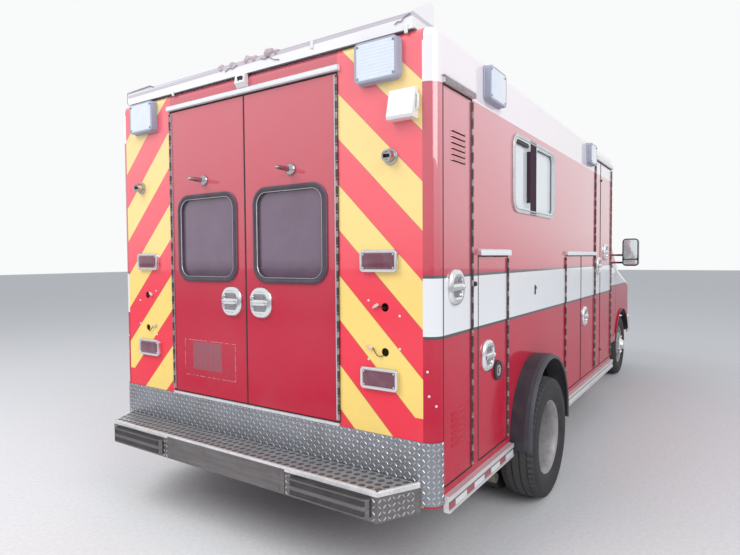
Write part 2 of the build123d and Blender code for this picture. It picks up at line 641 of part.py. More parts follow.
def rear_wheels(side):
    """Twin rear wheels as one turned solid: two tyres on rims that meet at the hub."""
    outer = REAR_TYRE_OUT - TYRE_WIDTH / 2
    inner = outer - TWIN_PITCH
    middle = (outer + inner) / 2
    bore = 40 + RUN_GAP
    points = tyre_section(inner) + [(inner + 78, 205), (middle - 8, 195), (middle + 8, 195)]
    points += [(outer - 78, 205)] + tyre_section(outer)
    points += [(outer + 78, 205), (outer - 40, 190), (middle + 30, 150), (middle + 34, 80), (middle + 90, 70),
               (middle + 95, 0), (middle + 20, 0), (middle + 20, bore), (middle - 40, bore), (middle - 40, 100),
               (middle - 20, 150), (inner + 20, 190), (inner - 78, 205)]
    return turned([(side * py, pr) for py, pr in points], REAR_AXLE_X)


def knuckle(side):
    """Steering knuckle: kingpin, spindle, brake disc and steering arm."""
    x = FRONT_AXLE_X
    part = rod((x, side * KINGPIN_Y, 294), (x, side * KINGPIN_Y, 450), 34)
    mid = FRONT_TYRE_MID
    for start, end, radius in ((KINGPIN_Y, mid + 58, SPINDLE_RADIUS), (mid - 60, mid - 30, 150)):
        part += rod((x, side * start, TYRE_RADIUS), (x, side * end, TYRE_RADIUS), radius)
    return part + rod((x, side * (KINGPIN_Y - 10), 330), (x - 170, side * (KINGPIN_Y - 60), 330), 16)


# Cab
def cab_section(inset):
    """Cab cross-section in the YZ plane, inset all round."""
    d = inset
    half = CAB_HALF - d
    points = [(-half, 480 + d), (half, 480 + d), (half, 1300), (925 - d, 1900), (885 - d, 2075 - d),
              (-885 + d, 2075 - d), (-925 + d, 1900), (-half, 1300)]
    face = make_face(Polyline([(0, py, pz) for py, pz in points], close=True).edges())
    top = [v for v in face.vertices() if v.Z > 1950]
    return fillet(top, 110 - d)


def cab_profile(inset, back):
    """Cab side profile in the XZ plane, inset at the top and bottom."""
    d = inset
    return [(back, 480 + d), (2083 - d, 480 + d), (2083 - d, 800 + d), (2600, 860 + d), (2600, 1345),
            (2200, 2010 - d), (1560, 2075 - d), (back, 2075 - d)]


def plan_face(nose, corner, half, back, z, radius):
    """Plan outline with a bowed front between two corners; corner gives x and the bow's half width."""
    x, y = corner[0] + 30, corner[1]
    ends = Polyline((x, y, z), (x - 120, half, z), (back, half, z), (back, -half, z),
                    (x - 120, -half, z), (x, -y, z))
    bow = ThreePointArc((x, -y, z), (nose, 0, z), (x, y, z))
    face = make_face(ends.edges() + bow.edges())
    return fillet([v for v in face.vertices() if v.X > back + 10], radius)


def screen_sweep(inset, back):
    """Space behind the windscreen: a bowed plan pushed up along the screen's rake, over a square cowl."""
    z = COWL_Z - inset * 0.4
    low = block((back - 100, COWL_X - 10 - inset), (-1100, 1100), (400, z))
    nose = COWL_X - 15 - inset * 1.38
    face = plan_face(nose, (nose - 130, 800 - inset * 0.5), CAB_HALF + 60 - inset, back - 100, z, 90)
    return low + extrude(face, amount=1000, dir=SCREEN_RAKE)


def cab_envelope(inset, back):
    """Cab cabin as a solid, smaller by an inset."""
    body = Pos(back, 0, 0) * extrude(cab_section(inset), amount=2600, dir=(1, 0, 0))
    return body & side_prism(cab_profile(inset, back), (-1200, 1200)) & screen_sweep(inset, back)


DOOR_OUTLINE = [(CAB_DOOR_X[0], 560), (CAB_DOOR_X[1], 560), (CAB_DOOR_X[1], 1345), (1690, 1905),
                (CAB_DOOR_X[0], 1905)]
DOOR_SHRUNK = [(CAB_DOOR_X[0] + GAP, 566), (CAB_DOOR_X[1] - GAP, 566), (CAB_DOOR_X[1] - GAP, 1342),
               (1687, 1899), (CAB_DOOR_X[0] + GAP + 9, 1899), (CAB_DOOR_X[0] + GAP, 1300)]
DOOR_WINDOW = [(1150, 1360), (1960, 1360), (1640, 1850), (1150, 1850)]


def cab_parts():
    """Cab shell, doors, door glass and windscreen, all cut from one skin."""
    skin = cab_envelope(0, FRONT) - cab_envelope(CAB_WALL, FRONT - 50)
    screen_outline = [(-800, 1395), (800, 1395), (700, 1935), (-700, 1935)]
    face = make_face(Polyline([(1650, py, pz) for py, pz in screen_outline], close=True).edges())
    screen = extrude(face, amount=900, dir=(1, 0, 0))
    shell = skin - screen
    thin = cab_envelope(10, FRONT - 50) - cab_envelope(17, FRONT - 50)
    windscreen = thin & screen
    doors, panes = {}, {}
    for side in (RIGHT, LEFT):
        reach = (side * 700, side * 1300)
        inside = block((2000, 2100), (0, side * (CAB_HALF - CAB_WALL)), (400, 1340))
        shell -= side_prism(DOOR_OUTLINE, reach) - inside
        leaf = (skin & side_prism(DOOR_SHRUNK, reach)) - inside
        hole = side_prism(DOOR_WINDOW, reach)
        doors[side] = leaf - hole
        panes[side] = thin & hole
    for side in (RIGHT, LEFT):
        shell -= block((2084, 2500), (side * 940, side * 1100), (400, COWL_Z + 2))
        shell -= arch_prism(FRONT_AXLE_X, FRONT_ARCH, (side * 560, side * 1100))
    shell -= block((FRONT - 10, 2100), (-820, 820), (400, 640))
    shell += block((FRONT, 2040), (-CAB_HALF + CAB_WALL, CAB_HALF - CAB_WALL), (640, 680))
    return shell, windscreen, doors, panes


def cab_door_fittings(side):
    """Door handle bar, mirror arms and mirror head."""
    x = 1905
    head = block((x - 35, x + 35), (side * 1105, side * 1275), (1385, 1700))
    head = fillet(head.edges().filter_by(Axis.X), 40)
    arms = block((x + 25, x + 50), (side * 940, side * 1115), (1412, 1434))
    arms += block((x - 12, x + 18), (side * 930, side * 1115), (1500, 1522))
    return head + arms


def nose_form(inset):
    """Front end as a solid: a crowned section pushed along the hood line, with a bowed front."""
    d = inset
    half = CAB_HALF - d
    top = COWL_Z - d
    points = [(-half, 200), (half, 200), (half, top - 26), (430, top + 6), (-430, top + 6), (-half, top - 26)]
    section = make_face(Polyline([(2000, py, pz + 440 * HOOD_DROP) for py, pz in points], close=True).edges())
    section = fillet([v for v in section.vertices() if abs(v.Y) > 900 and v.Z > 1000], 80 - d)
    body = extrude(section, amount=1400, dir=(1, 0, -HOOD_DROP))
    front = NOSE_X - 25 - d
    profile = [(2086, 480), (2930, 480), (2930, 700), (front, 700), (front, 1110), (front - 85, 1260),
               (2086, 1420)]
    side = side_prism(profile, (-1200, 1200))
    side = fillet(side.edges().filter_by(Axis.Y).filter_by_position(Axis.Z, 1105, 1115), 55)
    plan = plan_face(front, (front - 60, 850 - d), half + 40, 2000, 400, 90)
    return body & side & extrude(plan, amount=1200, dir=(0, 0, 1))


def cab_fender(side):
    """Front fender with the wheel arch cut out, a lip round it and a rounded top edge."""
    whole = nose_form(0) & block((2086, NOSE_X), (side * (HOOD_HALF + GAP), side * CAB_HALF), (480, 1400))
    fender = whole - (nose_form(45) & block((2000, NOSE_X), (0, side * 955), (400, 1400)))
    fender -= block((2086, 2438), (side * 700, side * 945), (400, 1450))
    fender -= block((2080, COWL_X), (side * 700, side * 1100), (COWL_Z, 1500))
    fender -= block((2400, NOSE_X), (side * 700, side * 945), (400, 1090))
    ring = arch_prism(FRONT_AXLE_X, FRONT_ARCH + 16, (side * 990, side * 1014))
    fender += ring & block((2086, 2930), (side * 990, side * 1014), (480, 900))
    return fender - arch_prism(FRONT_AXLE_X, FRONT_ARCH, (side * 900, side * 1100))


def hood():
    """Crowned hood lid, hinged at the cowl, that turns down at the nose."""
    lid = nose_form(0) - nose_form(34)
    return lid & block((COWL_X + 8, NOSE_X), (-HOOD_HALF, HOOD_HALF), (1095, 1400))


def front_plan(forward, z):
    """Bowed plan of the front panel, moved forward, between two heights."""
    face = plan_face(NOSE_X - 25 + forward, (NOSE_X - 85 + forward, 850), CAB_HALF, 2900, z[0], 60)
    return extrude(face, amount=z[1] - z[0], dir=(0, 0, 1))


def grille():
    """Front panel with a framed grille opening crossed by bars."""
    z = (700, 1085)
    width = (-CAB_HALF + 62, CAB_HALF - 62)
    panel = front_plan(20, z) & block((3015, NOSE_X), width, z)
    panel -= front_plan(-25, (740, 1050)) & block((2900, NOSE_X), (width[0] + 40, width[1] - 40), (740, 1050))
    panel -= block((NOSE_X - 80, NOSE_X + 10), (-500, 500), (790, 1050))
    for low in (830, 890, 950, 1010):
        panel += front_plan(14, (low, low + 16)) & block((NOSE_X - 70, NOSE_X), (-505, 505), (low, low + 16))
    for y in (-250, 0, 250):
        panel += front_plan(8, (785, 1055)) & block((NOSE_X - 60, NOSE_X), (y - 6, y + 6), (785, 1055))
    return panel


def headlamps():
    """Two rectangular headlamps with their side lamps, bowed like the panel."""
    lamps = []
    for side in (RIGHT, LEFT):
        for z, radius, forward in (((850, 1045), 24, 34), ((760, 835), 16, 30)):
            lamp = rounded_end((NOSE_X - 60, NOSE_X + 40), (side * 560, side * 900), z, radius)
            lamps.append(lamp & front_plan(forward, z))
    return lamps


def front_bumper():
    """Chromed front bumper with wrapped ends."""
    bar = block((NOSE_X - 150, BUMPER_X), (-CAB_HALF, CAB_HALF), (480, 690))
    bar = fillet([e for e in bar.edges().filter_by(Axis.Z) if (e @ 0.5).X > 3150], 70)
    cavity = block((NOSE_X - 200, BUMPER_X - 10), (-CAB_HALF + 10, CAB_HALF - 10), (470, 680))
    cavity = fillet([e for e in cavity.edges().filter_by(Axis.Z) if (e @ 0.5).X > 3150], 60)
    bar -= cavity
    for side in (RIGHT, LEFT):
        bar += block((NOSE_X - 60, BUMPER_X - 5), (side * RAIL_Y[0], side * RAIL_Y[1]), (500, 600))
    return bar


def seats():
    """Two cab seats on their boxes."""
    pair = []
    for side in (RIGHT, LEFT):
        y = (side * 330, side * 830)
        base = block((1160, 1560), (side * 380, side * 780), (680, 880))
        cushion = fillet(block((1130, 1640), y, (880, 1010)).edges().filter_by(Axis.Y), 40)
        back = side_prism([(1130, 1000), (1270, 1000), (1150, 1650), (1030, 1650)], y)
        rest = side_prism([(1055, 1640), (1140, 1640), (1110, 1840), (1030, 1840)], (side * 450, side * 710))
        pair.append(base + cushion + back + rest)
    return pair


def dashboard():
    """Dashboard with its binnacle, column and engine cover."""
    dash = side_prism([(2030, 1050), (2030, 1270), (2090, 1312), (2330, 1312), (2330, 1050)], (-900, 900))
    cover = side_prism([(1640, 680), (1700, 980), (2034, 1050), (2034, 680)], (-300, 300))
    column = rod((2060, 480, 1150), (1880, 480, 1240), 32)
    return dash + cover + column


def steering_wheel():
    """Steering wheel on its raked axis."""
    plane = Plane(origin=WHEEL_HUB, x_dir=(0, 1, 0), z_dir=(-0.894, 0, 0.447))
    section = plane * Pos(185, 0, 0) * Rot(90, 0, 0) * RegularPolygon(16, 8)
    part = revolve(section, axis=Axis(WHEEL_HUB, plane.z_dir), revolution_arc=360)
    part += plane * Cylinder(45, 30)
    for angle in (90, 210, 330):
        part += plane * Rot(0, 0, angle) * Pos(110, 0, 0) * Box(150, 26, 12)
    return part


def build():
    """Write every sub-part."""
    save("module_floor", *module_floor())
    save("module_roof", module_roof())
    save("corner_posts", *corner_posts())
    save("module_wall_right", side_wall(RIGHT, RIGHT_OPENINGS, True))
    left_openings = [door[1:5] for door in LEFT_DOORS]
    save("module_wall_left", side_wall(LEFT, left_openings, False))
    save("module_front_wall", module_front_wall())
    save("rear_frame", *rear_frame())
    save("rear_panels", *both(rear_panel))
    save("lockers_right", *lockers(RIGHT), entry_step(), wheel_house(RIGHT))
    save("lockers_left", *lockers(LEFT), wheel_house(LEFT))
    for doors, side in ((RIGHT_DOORS, RIGHT), (LEFT_DOORS, LEFT)):
        for name, *sizes in doors:
            save(name, side_door(side, *sizes))
    for side, word in ((RIGHT, "right"), (LEFT, "left")):
        save(f"rear_door_{word}", rear_door(side))
        save(f"rear_door_glass_{word}", rear_door_glass(side))
        save(f"front_wheel_{word}", front_wheel(side))
        save(f"rear_wheels_{word}", rear_wheels(side))
        save(f"knuckle_{word}", knuckle(side))
    save("side_window", side_window())
    save("trim_rails", *rub_rails(), *drip_rails())
    save("fender_flares", *both(fender_flare))
    save("rear_kick_plate", rear_kick_plate())
    save("rear_step", rear_step())
    save("roof_tray", roof_tray())
    save("warning_lights", *warning_lights())
    save("rear_fittings", *rear_lamps(), *work_lights(), *door_catches())
    save("frame_rails", *both(frame_rail))
    save("crossmembers", *crossmembers())
    save("rear_axle", rear_axle())
    save("front_axle", front_axle())
    save("engine_block", engine_block())
    save("drivetrain", drivetrain())
    save("fuel_tank", fuel_tank())
    save("exhaust", exhaust())
    shell, windscreen, doors, panes = cab_parts()
    save("cab_shell", shell)
    save("windscreen", windscreen)
    for side, word in ((RIGHT, "right"), (LEFT, "left")):
        save(f"cab_door_{word}", doors[side] + cab_door_fittings(side))
        save(f"cab_door_glass_{word}", panes[side])
    save("cab_fenders", *both(cab_fender))
    save("hood", hood())
    save("grille", grille() + headlamps())
    save("front_bumper", front_bumper())
    save("seats", *seats())
    save("dashboard", dashboard())
    save("steering_wheel", steering_wheel())


build()
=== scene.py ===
"""Finishes, small hardware, floor, light and camera for the box-bodied ambulance.

Metres, in the CAD frame: +X is forward, +Y is the vehicle's left, +Z is up. "fwd" is a distance
forward of the module's rear face. Each Operator makes one piece or group of like pieces.
"""
import math
import random

import bmesh
import bpy
from bpy.props import FloatProperty, FloatVectorProperty, IntProperty, PointerProperty
from mathutils import Matrix, Vector


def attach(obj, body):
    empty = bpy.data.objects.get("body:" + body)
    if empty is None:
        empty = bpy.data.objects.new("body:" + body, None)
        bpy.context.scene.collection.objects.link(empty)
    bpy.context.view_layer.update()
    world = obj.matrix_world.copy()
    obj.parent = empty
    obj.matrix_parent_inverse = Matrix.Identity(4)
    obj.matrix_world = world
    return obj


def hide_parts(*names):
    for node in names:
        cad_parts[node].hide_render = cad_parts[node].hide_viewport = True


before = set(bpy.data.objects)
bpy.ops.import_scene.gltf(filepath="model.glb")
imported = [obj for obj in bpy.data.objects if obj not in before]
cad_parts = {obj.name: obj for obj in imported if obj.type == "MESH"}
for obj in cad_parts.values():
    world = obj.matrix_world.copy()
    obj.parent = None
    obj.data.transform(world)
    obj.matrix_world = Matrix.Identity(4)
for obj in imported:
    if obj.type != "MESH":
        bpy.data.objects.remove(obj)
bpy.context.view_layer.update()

bl_info = {
    "name": "Ambulance dressing",
    "version": (1, 0, 0),
    "blender": (4, 5, 0),
    "location": "View3D > Sidebar > Ambulance",
    "description": "Finishes and small hardware for a box-bodied ambulance",
    "category": "Object",
}

REAR = -2.975
HALF = 1.145
RIGHT, LEFT = -1, 1
DOOR_SIDE = {"right": RIGHT, "left": LEFT}
AXLES = {"front": 2.5, "rear": REAR + 1.346}
AXLE_Z = 0.372
SEED = 11

# Side doors: body, side, rear and front edges (fwd), bottom, top, hinged edge, handle (fwd, z)
SIDE_DOORS = (
    ("locker_door_tall", RIGHT, 0.067, 0.375, 0.485, 2.243, "front", (0.19, 1.364)),
    ("locker_door_low", RIGHT, 0.456, 0.871, 0.485, 1.5, "front", (0.575, 0.992)),
    ("locker_leaf_rear", RIGHT, 2.117, 2.62, 0.485, 1.5, "rear", None),
    ("locker_leaf_front", RIGHT, 2.62, 3.123, 0.485, 1.5, "front", (2.74, 0.996)),
    ("locker_door_narrow", RIGHT, 3.14, 3.375, 0.485, 2.36, "rear", (3.28, 1.412)),
    ("entry_door", RIGHT, 3.375, 3.888, 0.485, 2.36, "front", (3.6, 1.54)),
    ("left_door_rear", LEFT, 0.067, 0.56, 0.485, 2.243, "front", (0.19, 1.364)),
    ("left_door_middle", LEFT, 2.117, 2.86, 0.485, 1.5, "front", (2.24, 1.003)),
    ("left_door_front", LEFT, 3.14, 3.74, 0.485, 2.36, "front", (3.26, 1.412)),
)

REAR_DOORWAY = (0.627, 0.704, 2.377)     # half width, bottom, top
LOUVRE_ROWS = [0.637 + 0.029 * k for k in range(6)] + [1.93 + 0.026 * k for k in range(6)]
TYRE_MIDDLES = {"front": 0.875, "inner": 0.8865, "outer": 1.1535}
ARCH_Z, FLARE_RADIUS = 0.462, 0.4065
CATCH_Z = 1.948
STEP_FACE, STEP_TOP, STEP_HALF = REAR - 0.195, 0.51, 0.965
STEP_END = (0.191, 0.105)     # how far the step's slanted ends reach forwards and outwards
OPEN = {"start": False, "end": False}     # a loft without its end faces


# Settings
class PaintSettings(bpy.types.PropertyGroup):
    """Colours and heights of the body's paint."""
    red: FloatVectorProperty(name="Red", description="Body red", subtype="COLOR", size=3, min=0, max=1,
                             default=(0.52, 0.014, 0.045))
    white: FloatVectorProperty(name="White", description="Stripe and roof white", subtype="COLOR", size=3,
                               min=0, max=1, default=(0.8, 0.82, 0.84))
    sheet_red: FloatVectorProperty(name="Sheet red", description="Reflective red of the slanted bands",
                                   subtype="COLOR", size=3, min=0, max=1, default=(0.88, 0.045, 0.078))
    sheet_yellow: FloatVectorProperty(name="Sheet yellow", description="Reflective yellow of the bands",
                                      subtype="COLOR", size=3, min=0, max=1, default=(0.95, 0.69, 0.2))
    stripe_low: FloatProperty(name="Stripe bottom", description="Lower edge of the white stripe",
                              default=1.156, unit="LENGTH")
    stripe_high: FloatProperty(name="Stripe top", description="Upper edge of the white stripe",
                               default=1.408, unit="LENGTH")
    pin_width: FloatProperty(name="Pinstripe", description="Width of the grey line along the stripe",
                             default=0.014, unit="LENGTH")
    top_line: FloatProperty(name="White above", description="Height above which the body is white",
                            default=2.25, unit="LENGTH")
    band_height: FloatProperty(name="Band height", description="Height of a slanted band", default=0.215,
                               unit="LENGTH")
    band_start: FloatProperty(name="Band start", description="Height of a band edge on the centre plane",
                              default=1.618, unit="LENGTH")


class HardwareSettings(bpy.types.PropertyGroup):
    """Sizes of the repeated hardware."""
    knuckle: FloatProperty(name="Hinge knuckle", description="Length of a piano hinge's knuckle",
                           default=0.04, unit="LENGTH")
    hinge_radius: FloatProperty(name="Hinge radius", description="Outside radius of a hinge knuckle",
                                default=0.0062, unit="LENGTH")
    tread_pitch: FloatProperty(name="Tread plate pitch",
                               description="Distance between the lozenges of tread plate", default=0.0235,
                               unit="LENGTH")
    tread_rise: FloatProperty(name="Tread plate rise", description="Height of a lozenge", default=0.0018,
                              unit="LENGTH")
    step_pitch: FloatProperty(name="Step hole pitch",
                              description="Distance between the holes of the step deck", default=0.044,
                              unit="LENGTH")
    step_hole: FloatProperty(name="Step hole radius", description="Radius of a hole in the step deck",
                             default=0.016, unit="LENGTH")
    tyre_blocks: IntProperty(name="Tyre blocks", description="Shoulder blocks round a tyre", default=60,
                             min=12, max=120)


class StageSettings(bpy.types.PropertyGroup):
    """Floor, light and camera."""
    floor: FloatVectorProperty(name="Floor", description="Floor colour", subtype="COLOR", size=3, min=0,
                               max=1, default=(0.76, 0.76, 0.77))
    sky: FloatProperty(name="Sky", description="Strength of the even light", default=0.62, min=0, max=5)
    key: FloatProperty(name="Key light", description="Power of the large soft lamp", default=520.0, min=0,
                       max=5000)
    lens: FloatProperty(name="Lens", description="Focal length on a 36 mm sensor", default=26.63, min=5,
                        max=200)


# Shader building
class Value:
    """A shader socket that carries a number, with the usual operators."""

    def __init__(self, finish, socket):
        self.finish = finish
        self.socket = socket

    def math(self, operation, *others, clamp=False):
        return self.finish.node("ShaderNodeMath", {"operation": operation, "use_clamp": clamp}, self,
                                *others)

    def __add__(self, other):
        return self.math("ADD", other)

    __radd__ = __add__

    def __sub__(self, other):
        return self.math("SUBTRACT", other)

    def __rsub__(self, other):
        return self.finish.node("ShaderNodeMath", {"operation": "SUBTRACT"}, other, self)

    def __mul__(self, other):
        return self.math("MULTIPLY", other)

    __rmul__ = __mul__

    def __truediv__(self, other):
        return self.math("DIVIDE", other)

    def __gt__(self, other):
        return self.math("GREATER_THAN", other)

    def __lt__(self, other):
        return self.math("LESS_THAN", other)

    def __abs__(self):
        return self.math("ABSOLUTE")

    def __and__(self, other):
        return self.math("MINIMUM", other)

    def __or__(self, other):
        return self.math("MAXIMUM", other)

    def fract(self):
        return self.math("FRACT")

    def between(self, low, high):
        """1 between two values, 0 elsewhere."""
        return (self > low) & (self < high)

    def ramp(self, low, high):
        """0 below one value, 1 above the other, straight between."""
        return ((self - low) * (1.0 / (high - low))).math("ADD", 0.0, clamp=True)


class Graph:
    """The nodes of a material or of the world."""

    def __init__(self, owner):
        owner.use_nodes = True
        self.tree = owner.node_tree

    def node(self, kind, settings, *values, out=0, **named):
        """Add a node: its settings, then values or links of its sockets. Gives one output as a Value."""
        made = self.tree.nodes.new(kind)
        for key, value in settings.items():
            setattr(made, key, value)
        for key, value in list(enumerate(values)) + [(k.replace("_", " "), v) for k, v in named.items()]:
            self.put(made.inputs[key], value)
        return Value(self, made.outputs[out]) if len(made.outputs) else None

    def put(self, socket, value):
        if isinstance(value, Value):
            self.tree.links.new(value.socket, socket)
        elif socket.type == "RGBA":
            socket.default_value = (*value, 1.0)
        elif value is not None:
            socket.default_value = value


class Finish(Graph):
    """A node material round one Principled shader."""

    def __init__(self, name):
        self.material = bpy.data.materials.new(name)
        super().__init__(self.material)
        self.shader = next(n for n in self.tree.nodes if n.type == "BSDF_PRINCIPLED")
        self.place = self.node("ShaderNodeTexCoord", {}, out="Object")

    def set(self, **values):
        """Set or link sockets of the shader by name."""
        for key, value in values.items():
            self.put(self.shader.inputs[key.replace("_", " ")], value)

    def axes(self):
        """X, Y and Z of the point, in the CAD frame."""
        return [self.node("ShaderNodeSeparateXYZ", {}, self.place, out=axis) for axis in "XYZ"]

    def mix(self, low, high, factor):
        """Blend two colours: the Mix node's factor is input 0, its colours 6 and 7, its result output 2."""
        return self.node("ShaderNodeMix", {"data_type": "RGBA"}, factor, *[None] * 5, low, high, out=2)

    def stretch(self, scale):
        """The point's place with each axis scaled."""
        return self.node("ShaderNodeVectorMath", {"operation": "MULTIPLY"}, self.place, scale)

    def noise(self, scale, detail=3.0, rough=0.55, vector=None):
        return self.node("ShaderNodeTexNoise", {}, Vector=vector or self.place, Scale=scale, Detail=detail,
                         Roughness=rough)

    def cells(self, scale):
        """Distance to the nearest edge of a pattern of cells."""
        return self.node("ShaderNodeTexVoronoi", {"feature": "DISTANCE_TO_EDGE"}, Vector=self.place,
                         Scale=scale, out="Distance")

    def bump(self, height, strength, distance):
        """Feed the shader's normal from a height."""
        made = self.node("ShaderNodeBump", {}, Strength=strength, Distance=distance, Height=height)
        self.set(Normal=made)


FINISHES = {}


def finish(name):
    """The material of that name; makes it once."""
    if name not in FINISHES:
        FINISHES[name] = Finish(name)
        maker, *values = MAKERS[name]
        maker(FINISHES[name], *values)
    return FINISHES[name].material


# Finishes
def painted_shell(f, colour_of, gloss=0.16, metal=None, bare=(0.62, 0.62, 0.64)):
    """Glossy clear-coated body paint; metal is a mask of bare parts of the colour given."""
    x, y, z = f.axes()
    colour = colour_of(f, x, y, z)
    cloud = f.noise(1.7, 4.0)
    grime = f.noise(9.0, 5.0, 0.65)
    low_dirt = (1.0 - z.ramp(0.42, 0.95)) * grime.ramp(0.35, 0.75)
    colour = f.mix(colour, (0.2, 0.17, 0.15), low_dirt * 0.28)
    colour = f.mix(colour, (0.3, 0.26, 0.25), cloud.ramp(0.45, 0.8) * 0.07)
    # Painted reflection of the sky: the colour pales to pink upwards, more strongly on the sides
    colour = f.mix(colour, (0.98, 0.74, 0.8), z.ramp(1.2, 2.3) * (0.12 + (abs(y) > HALF - 0.02) * 0.22))
    coat = 0.05 + z.ramp(0.8, 1.7) * 0.95
    rough = 0.1 + gloss * (grime.ramp(0.3, 0.8) * 0.6 + low_dirt * 0.9)
    if metal:
        mask = metal(x, y, z)
        colour = f.mix(colour, bare, mask)
        rough = rough + mask * 0.14
        f.set(Metallic=mask)
        coat = coat * (1.0 - mask)
    f.set(Base_Color=colour, Roughness=rough, Coat_Weight=coat, Coat_Roughness=0.03, Coat_IOR=1.85,
          Specular_IOR_Level=0.1)
    f.bump(f.noise(260.0, 2.0), 0.02, 0.0006)


def striped(f, x, y, z):
    """Red body with its white stripe, grey pinstripes and white top; black inside the wheel arches."""
    p = bpy.context.scene.ambulance_paint
    colour = f.mix(p.red, p.white, z.between(p.stripe_low, p.stripe_high))
    low, high = p.stripe_low, p.stripe_high
    pins = z.between(low - p.pin_width, low) | z.between(high, high + p.pin_width)
    colour = f.mix(colour, (0.075, 0.07, 0.075), pins)
    colour = f.mix(colour, p.white, z > p.top_line)
    for axle, height, reach in (("rear", ARCH_Z, 0.41), ("front", AXLE_Z, 0.459)):
        along, up = x - AXLES[axle], z - height
        colour = f.mix(colour, (0.022, 0.02, 0.022), (along * along + up * up) < reach * reach)
    return colour


def slanted(f, x, y, z):
    """Reflective red and yellow bands that fall outwards on both sides, over the red sheet."""
    p = bpy.context.scene.ambulance_paint
    along = ((z + abs(y) - p.band_start) / (2.0 * p.band_height)).fract()
    colour = f.mix(p.sheet_red, p.sheet_yellow, along > 0.5)
    seam = (abs(along - 0.5) < 0.006) | (abs(along - 0.5) > 0.494)
    colour = f.mix(colour, (0.42, 0.1, 0.03), seam * 0.7)
    return f.mix(colour, p.sheet_red, z.between(0.5, 0.795) & (abs(y) > 1.03))


def plain_red(f, x, y, z):
    return bpy.context.scene.ambulance_paint.red


def plain_white(f, x, y, z):
    return f.mix(bpy.context.scene.ambulance_paint.white, (0.55, 0.55, 0.52),
                 f.noise(3.0, 5.0).ramp(0.5, 0.9) * 0.35)


def lip_paint(f):
    """White enamel of the drip rails; over the tall locker door it is darkened as painted shade."""
    x, y, z = f.axes()
    # Darkened lip over the tall door: painted shade of its underside
    stain = (x < REAR + 0.39) & (z > 2.2) & (abs(y) > HALF - 0.002)
    f.set(Base_Color=f.mix(plain_white(f, x, y, z), (0.14, 0.08, 0.095),
                           stain * (0.55 + f.noise(30.0, 5.0) * 0.5)), Roughness=0.45)


def roof_colour(f, x, y, z):
    """White roof whose rear edge carries on the red header and the slanted bands below it."""
    rear = (x < REAR + 0.02) & (z < 2.4825) & (abs(y) < 1.085)
    colour = f.mix(plain_white(f, x, y, z), bpy.context.scene.ambulance_paint.red, rear)
    return f.mix(colour, slanted(f, x, y, z), rear & (abs(y) > REAR_DOORWAY[0]) & (abs(y) < 1.08))


def tray_colour(f, x, y, z):
    """White tray, painted grey as shade inside and along its lip, with torn glue of a removed light bar."""
    torn = f.noise(38.0, 6.0, 0.7)
    # Painted shade: the tray's inside and the top edge of its lip are grey where the back wall lies in
    # shade
    inside = ((x > REAR + 0.004) & (abs(y) < 1.034)) | (z + y * 0.006).between(2.528, 2.5485)
    colour = f.mix(plain_white(f, x, y, z), (0.4, 0.385, 0.45), inside * 0.85)
    glue = (y + torn * 0.3).between(-0.25, 0.42) & (torn > 0.52) & (x > REAR - 0.0075)
    return f.mix(colour, (0.56, 0.44, 0.49), glue * 0.6)


def rear_door_colour(f, x, y, z):
    """Red rear doors; the left one keeps the grey marks of a removed plate."""
    p = bpy.context.scene.ambulance_paint
    ragged = f.noise(60.0, 4.0) * 0.03
    patch = (y + ragged).between(0.1, 0.53) & (z + ragged).between(0.815, 1.03)
    inner = (y + ragged * 0.5).between(0.215, 0.46) & (z + ragged * 0.5).between(0.862, 1.024)
    marks = f.noise(45.0, 6.0, 0.7).ramp(0.42, 0.62)
    inside = y.between(0.097, 0.524) & z.between(0.817, 1.023)
    edge = y.between(0.094, 0.527) & z.between(0.814, 1.026) & (1.0 - inside)
    colour = f.mix(p.red, (0.34, 0.05, 0.075), patch * marks * 0.5)
    colour = f.mix(colour, (0.24, 0.115, 0.14), inner * (0.55 + marks * 0.35))
    return f.mix(colour, (0.72, 0.42, 0.46), edge * marks.ramp(0.1, 0.5) * 0.7)


def chrome(f, colour=(0.8, 0.8, 0.82), rough=0.09):
    """Polished metal with faint wiping marks and specks."""
    specks = f.noise(180.0, 4.0, 0.7).ramp(0.58, 0.8)
    wipe = f.noise(14.0, 3.0, 0.5)
    f.set(Base_Color=f.mix(colour, (0.32, 0.3, 0.28), specks * 0.35), Metallic=1.0,
          Roughness=rough + wipe.ramp(0.3, 0.8) * 0.1 + specks * 0.25)
    f.bump(f.noise(90.0, 2.0), 0.03, 0.0008)


def brushed(f, colour, axis_scale, rough, metal=0.9, dirt=(0.16, 0.15, 0.14)):
    """Bare aluminium with long fine scratches and dirt in patches."""
    lines = f.noise(60.0, 4.0, 0.7, vector=f.stretch(axis_scale))
    patches = f.noise(7.0, 5.0, 0.65).ramp(0.48, 0.78)
    f.set(Base_Color=f.mix(f.mix(colour, (0.36, 0.36, 0.37), lines.ramp(0.35, 0.7) * 0.4), dirt,
                           patches * 0.35), Metallic=metal - patches * 0.25,
          Roughness=rough + lines.ramp(0.3, 0.7) * 0.14 + patches * 0.18)
    f.bump(lines, 0.1, 0.0006)


def tread_plate(f):
    """Worn, dull aluminium of the tread plate sheets."""
    wear = f.noise(5.5, 5.0, 0.6)
    fine = f.noise(130.0, 3.0)
    dirt = wear.ramp(0.45, 0.75)
    f.set(Base_Color=f.mix(f.mix((0.31, 0.32, 0.35), (0.21, 0.22, 0.25), fine.ramp(0.35, 0.7) * 0.6),
                           (0.17, 0.155, 0.14), dirt * 0.4), Metallic=0.75,
          Roughness=0.36 + dirt * 0.22 + fine.ramp(0.4, 0.8) * 0.08)
    f.bump(fine, 0.12, 0.0005)


